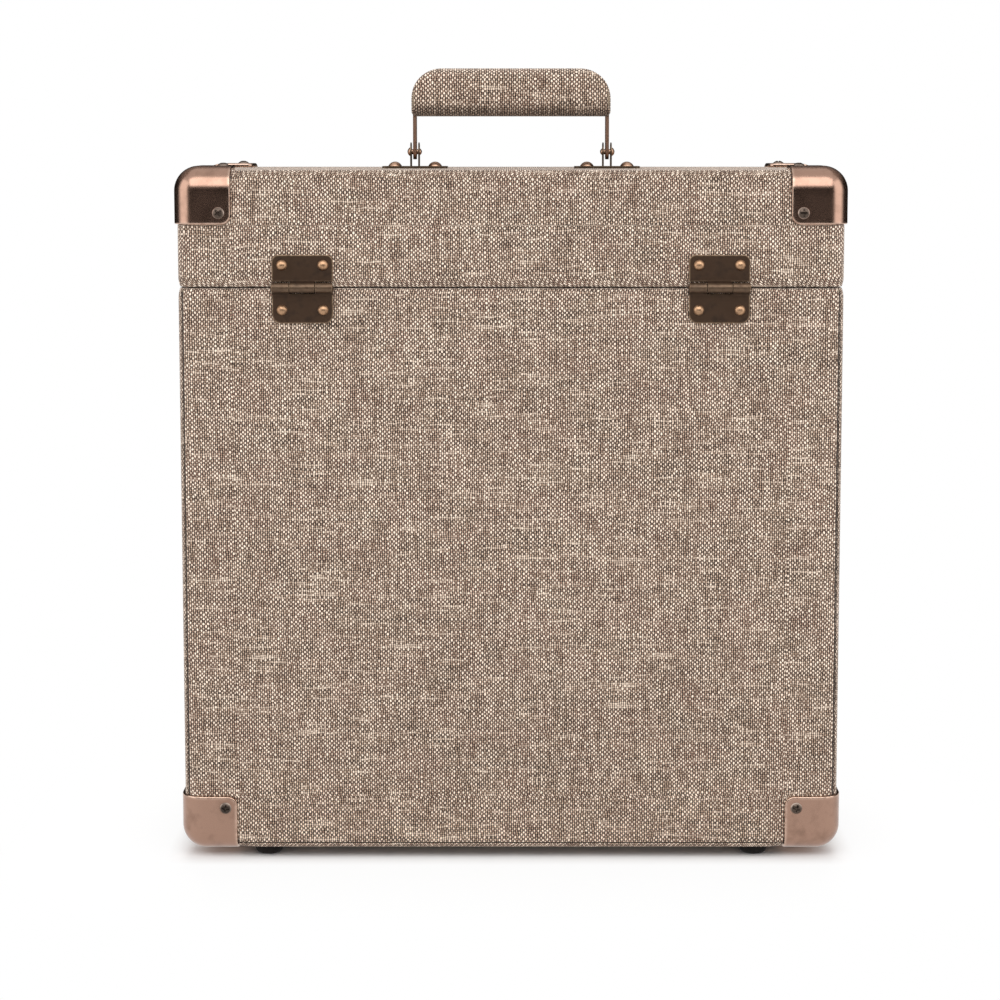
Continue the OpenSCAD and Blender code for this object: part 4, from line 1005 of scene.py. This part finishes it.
# the screens: arcs of degrees either side of a direction, in rows of a share of the radius and a
# height, that grow paler from DARK_UP_TO to PALE_FROM
SCREEN_R = 2.3
DARK_UP_TO, PALE_FROM = 1.0, 2.5
FRONT_ARC, FRONT_ROWS = (-90, 48), ((1, 0.001), (1, 1.2))
BACK_ARC, BACK_ROWS = (90, 82), ((1, 0.001), (1, 1.2), (0.85, 2.2), (0.7, 2.55))
dark, tree, principled = new_material("dark_screen", Roughness=1.0, Specular_IOR_Level=0.0)
height = put(tree, "ShaderNodeSeparateXYZ", {0: place_of(tree)}).outputs[2]
paler = remap(tree, height, DARK_UP_TO, PALE_FROM)
tree.links.new(blend(tree, paler, rgb(0.018, 0.016, 0.014), rgb(0.5, 0.45, 0.42)),
               principled.inputs["Base Color"])
for name, (middle, spread), rows in (("screen_front", FRONT_ARC, FRONT_ROWS),
                                     ("screen_back", BACK_ARC, BACK_ROWS)):
    turn = np.radians(np.linspace(middle - spread, middle + spread, 25))
    arc = SCREEN_R * np.stack([np.cos(turn), np.sin(turn)], -1)
    points = [np.concatenate([share * arc, np.full((len(arc), 1), high)], -1) for share, high in rows]
    screen = stage_mesh(name, np.stack(points), dark)
    screen.visible_camera = screen.visible_diffuse = screen.visible_shadow = False
    screen.visible_transmission = False

# the room's light, and the white that straight and mirrored views of it show
ROOM_LIGHT = 0.6
world = bpy.context.scene.world or bpy.data.worlds.new("studio")
bpy.context.scene.world = world
world.use_nodes = True
tree = world.node_tree
tree.nodes.clear()
ray = put(tree, "ShaderNodeLightPath")
seen = calc(tree, "MAXIMUM", ray.outputs["Is Camera Ray"], ray.outputs["Is Glossy Ray"])
seen = calc(tree, "MAXIMUM", seen, ray.outputs["Is Transmission Ray"])
room = put(tree, "ShaderNodeBackground", {0: rgb(1, 1, 1), 1: ROOM_LIGHT})
white = put(tree, "ShaderNodeBackground", {0: rgb(1, 1, 1), 1: 1.0})
shown = put(tree, "ShaderNodeMixShader", {0: seen, 1: room.outputs[0], 2: white.outputs[0]})
put(tree, "ShaderNodeOutputWorld", {0: shown.outputs[0]})


def soft_box(name, at, toward, size, radiance):
    """An area lamp of a given radiance, which faces a point. Its power is pi times the radiance
    times its area. Reflections show only the lamps on the camera's side."""
    lamp = bpy.data.lights.new(name, "AREA")
    lamp.shape, lamp.size, lamp.size_y = "RECTANGLE", *size
    lamp.energy = radiance * math.pi * size[0] * size[1]
    made = bpy.data.objects.new(name, lamp)
    away = np.array(at, float) - np.array(toward, float)
    away /= np.linalg.norm(away)
    made.location = at
    made.rotation_euler = (math.acos(away[2]), 0, math.atan2(away[1], away[0]) + math.pi / 2)
    made.visible_camera = False
    made.visible_glossy = at[1] < 0
    bpy.context.scene.collection.objects.link(made)


soft_box("box_above_camera", (0, -1.35, 1.65), (0, 0, 0.3), (3.0, 1.4), 2.15)
soft_box("box_left", (-1.75, -0.6, 0.8), (0, 0, 0.3), (1.2, 1.5), 1.1)
soft_box("box_right", (1.75, -0.6, 0.8), (0, 0, 0.3), (1.2, 1.5), 1.1)
soft_box("box_back", (0, 1.6, 1.7), (0, 0, 0.25), (1.8, 1.2), 4.2)


# Camera: in front of the hinged side, as far off and about as high as the photograph's perspective
# asks, tipped down a little, with the lens moved down so that the case lies in the frame.
lens = bpy.data.cameras.new("camera")
lens.lens, lens.sensor_width = 83.8, 36
lens.shift_x, lens.shift_y = -0.011, -0.1265
lens.clip_start = 0.05
camera = bpy.data.objects.new("camera", lens)
camera.location = (0, -1.2938, 0.387)
camera.rotation_euler = (math.radians(84.185), 0, 0)
bpy.context.scene.collection.objects.link(camera)
bpy.context.scene.camera = camera
bpy.context.scene.view_settings.view_transform = "Standard"
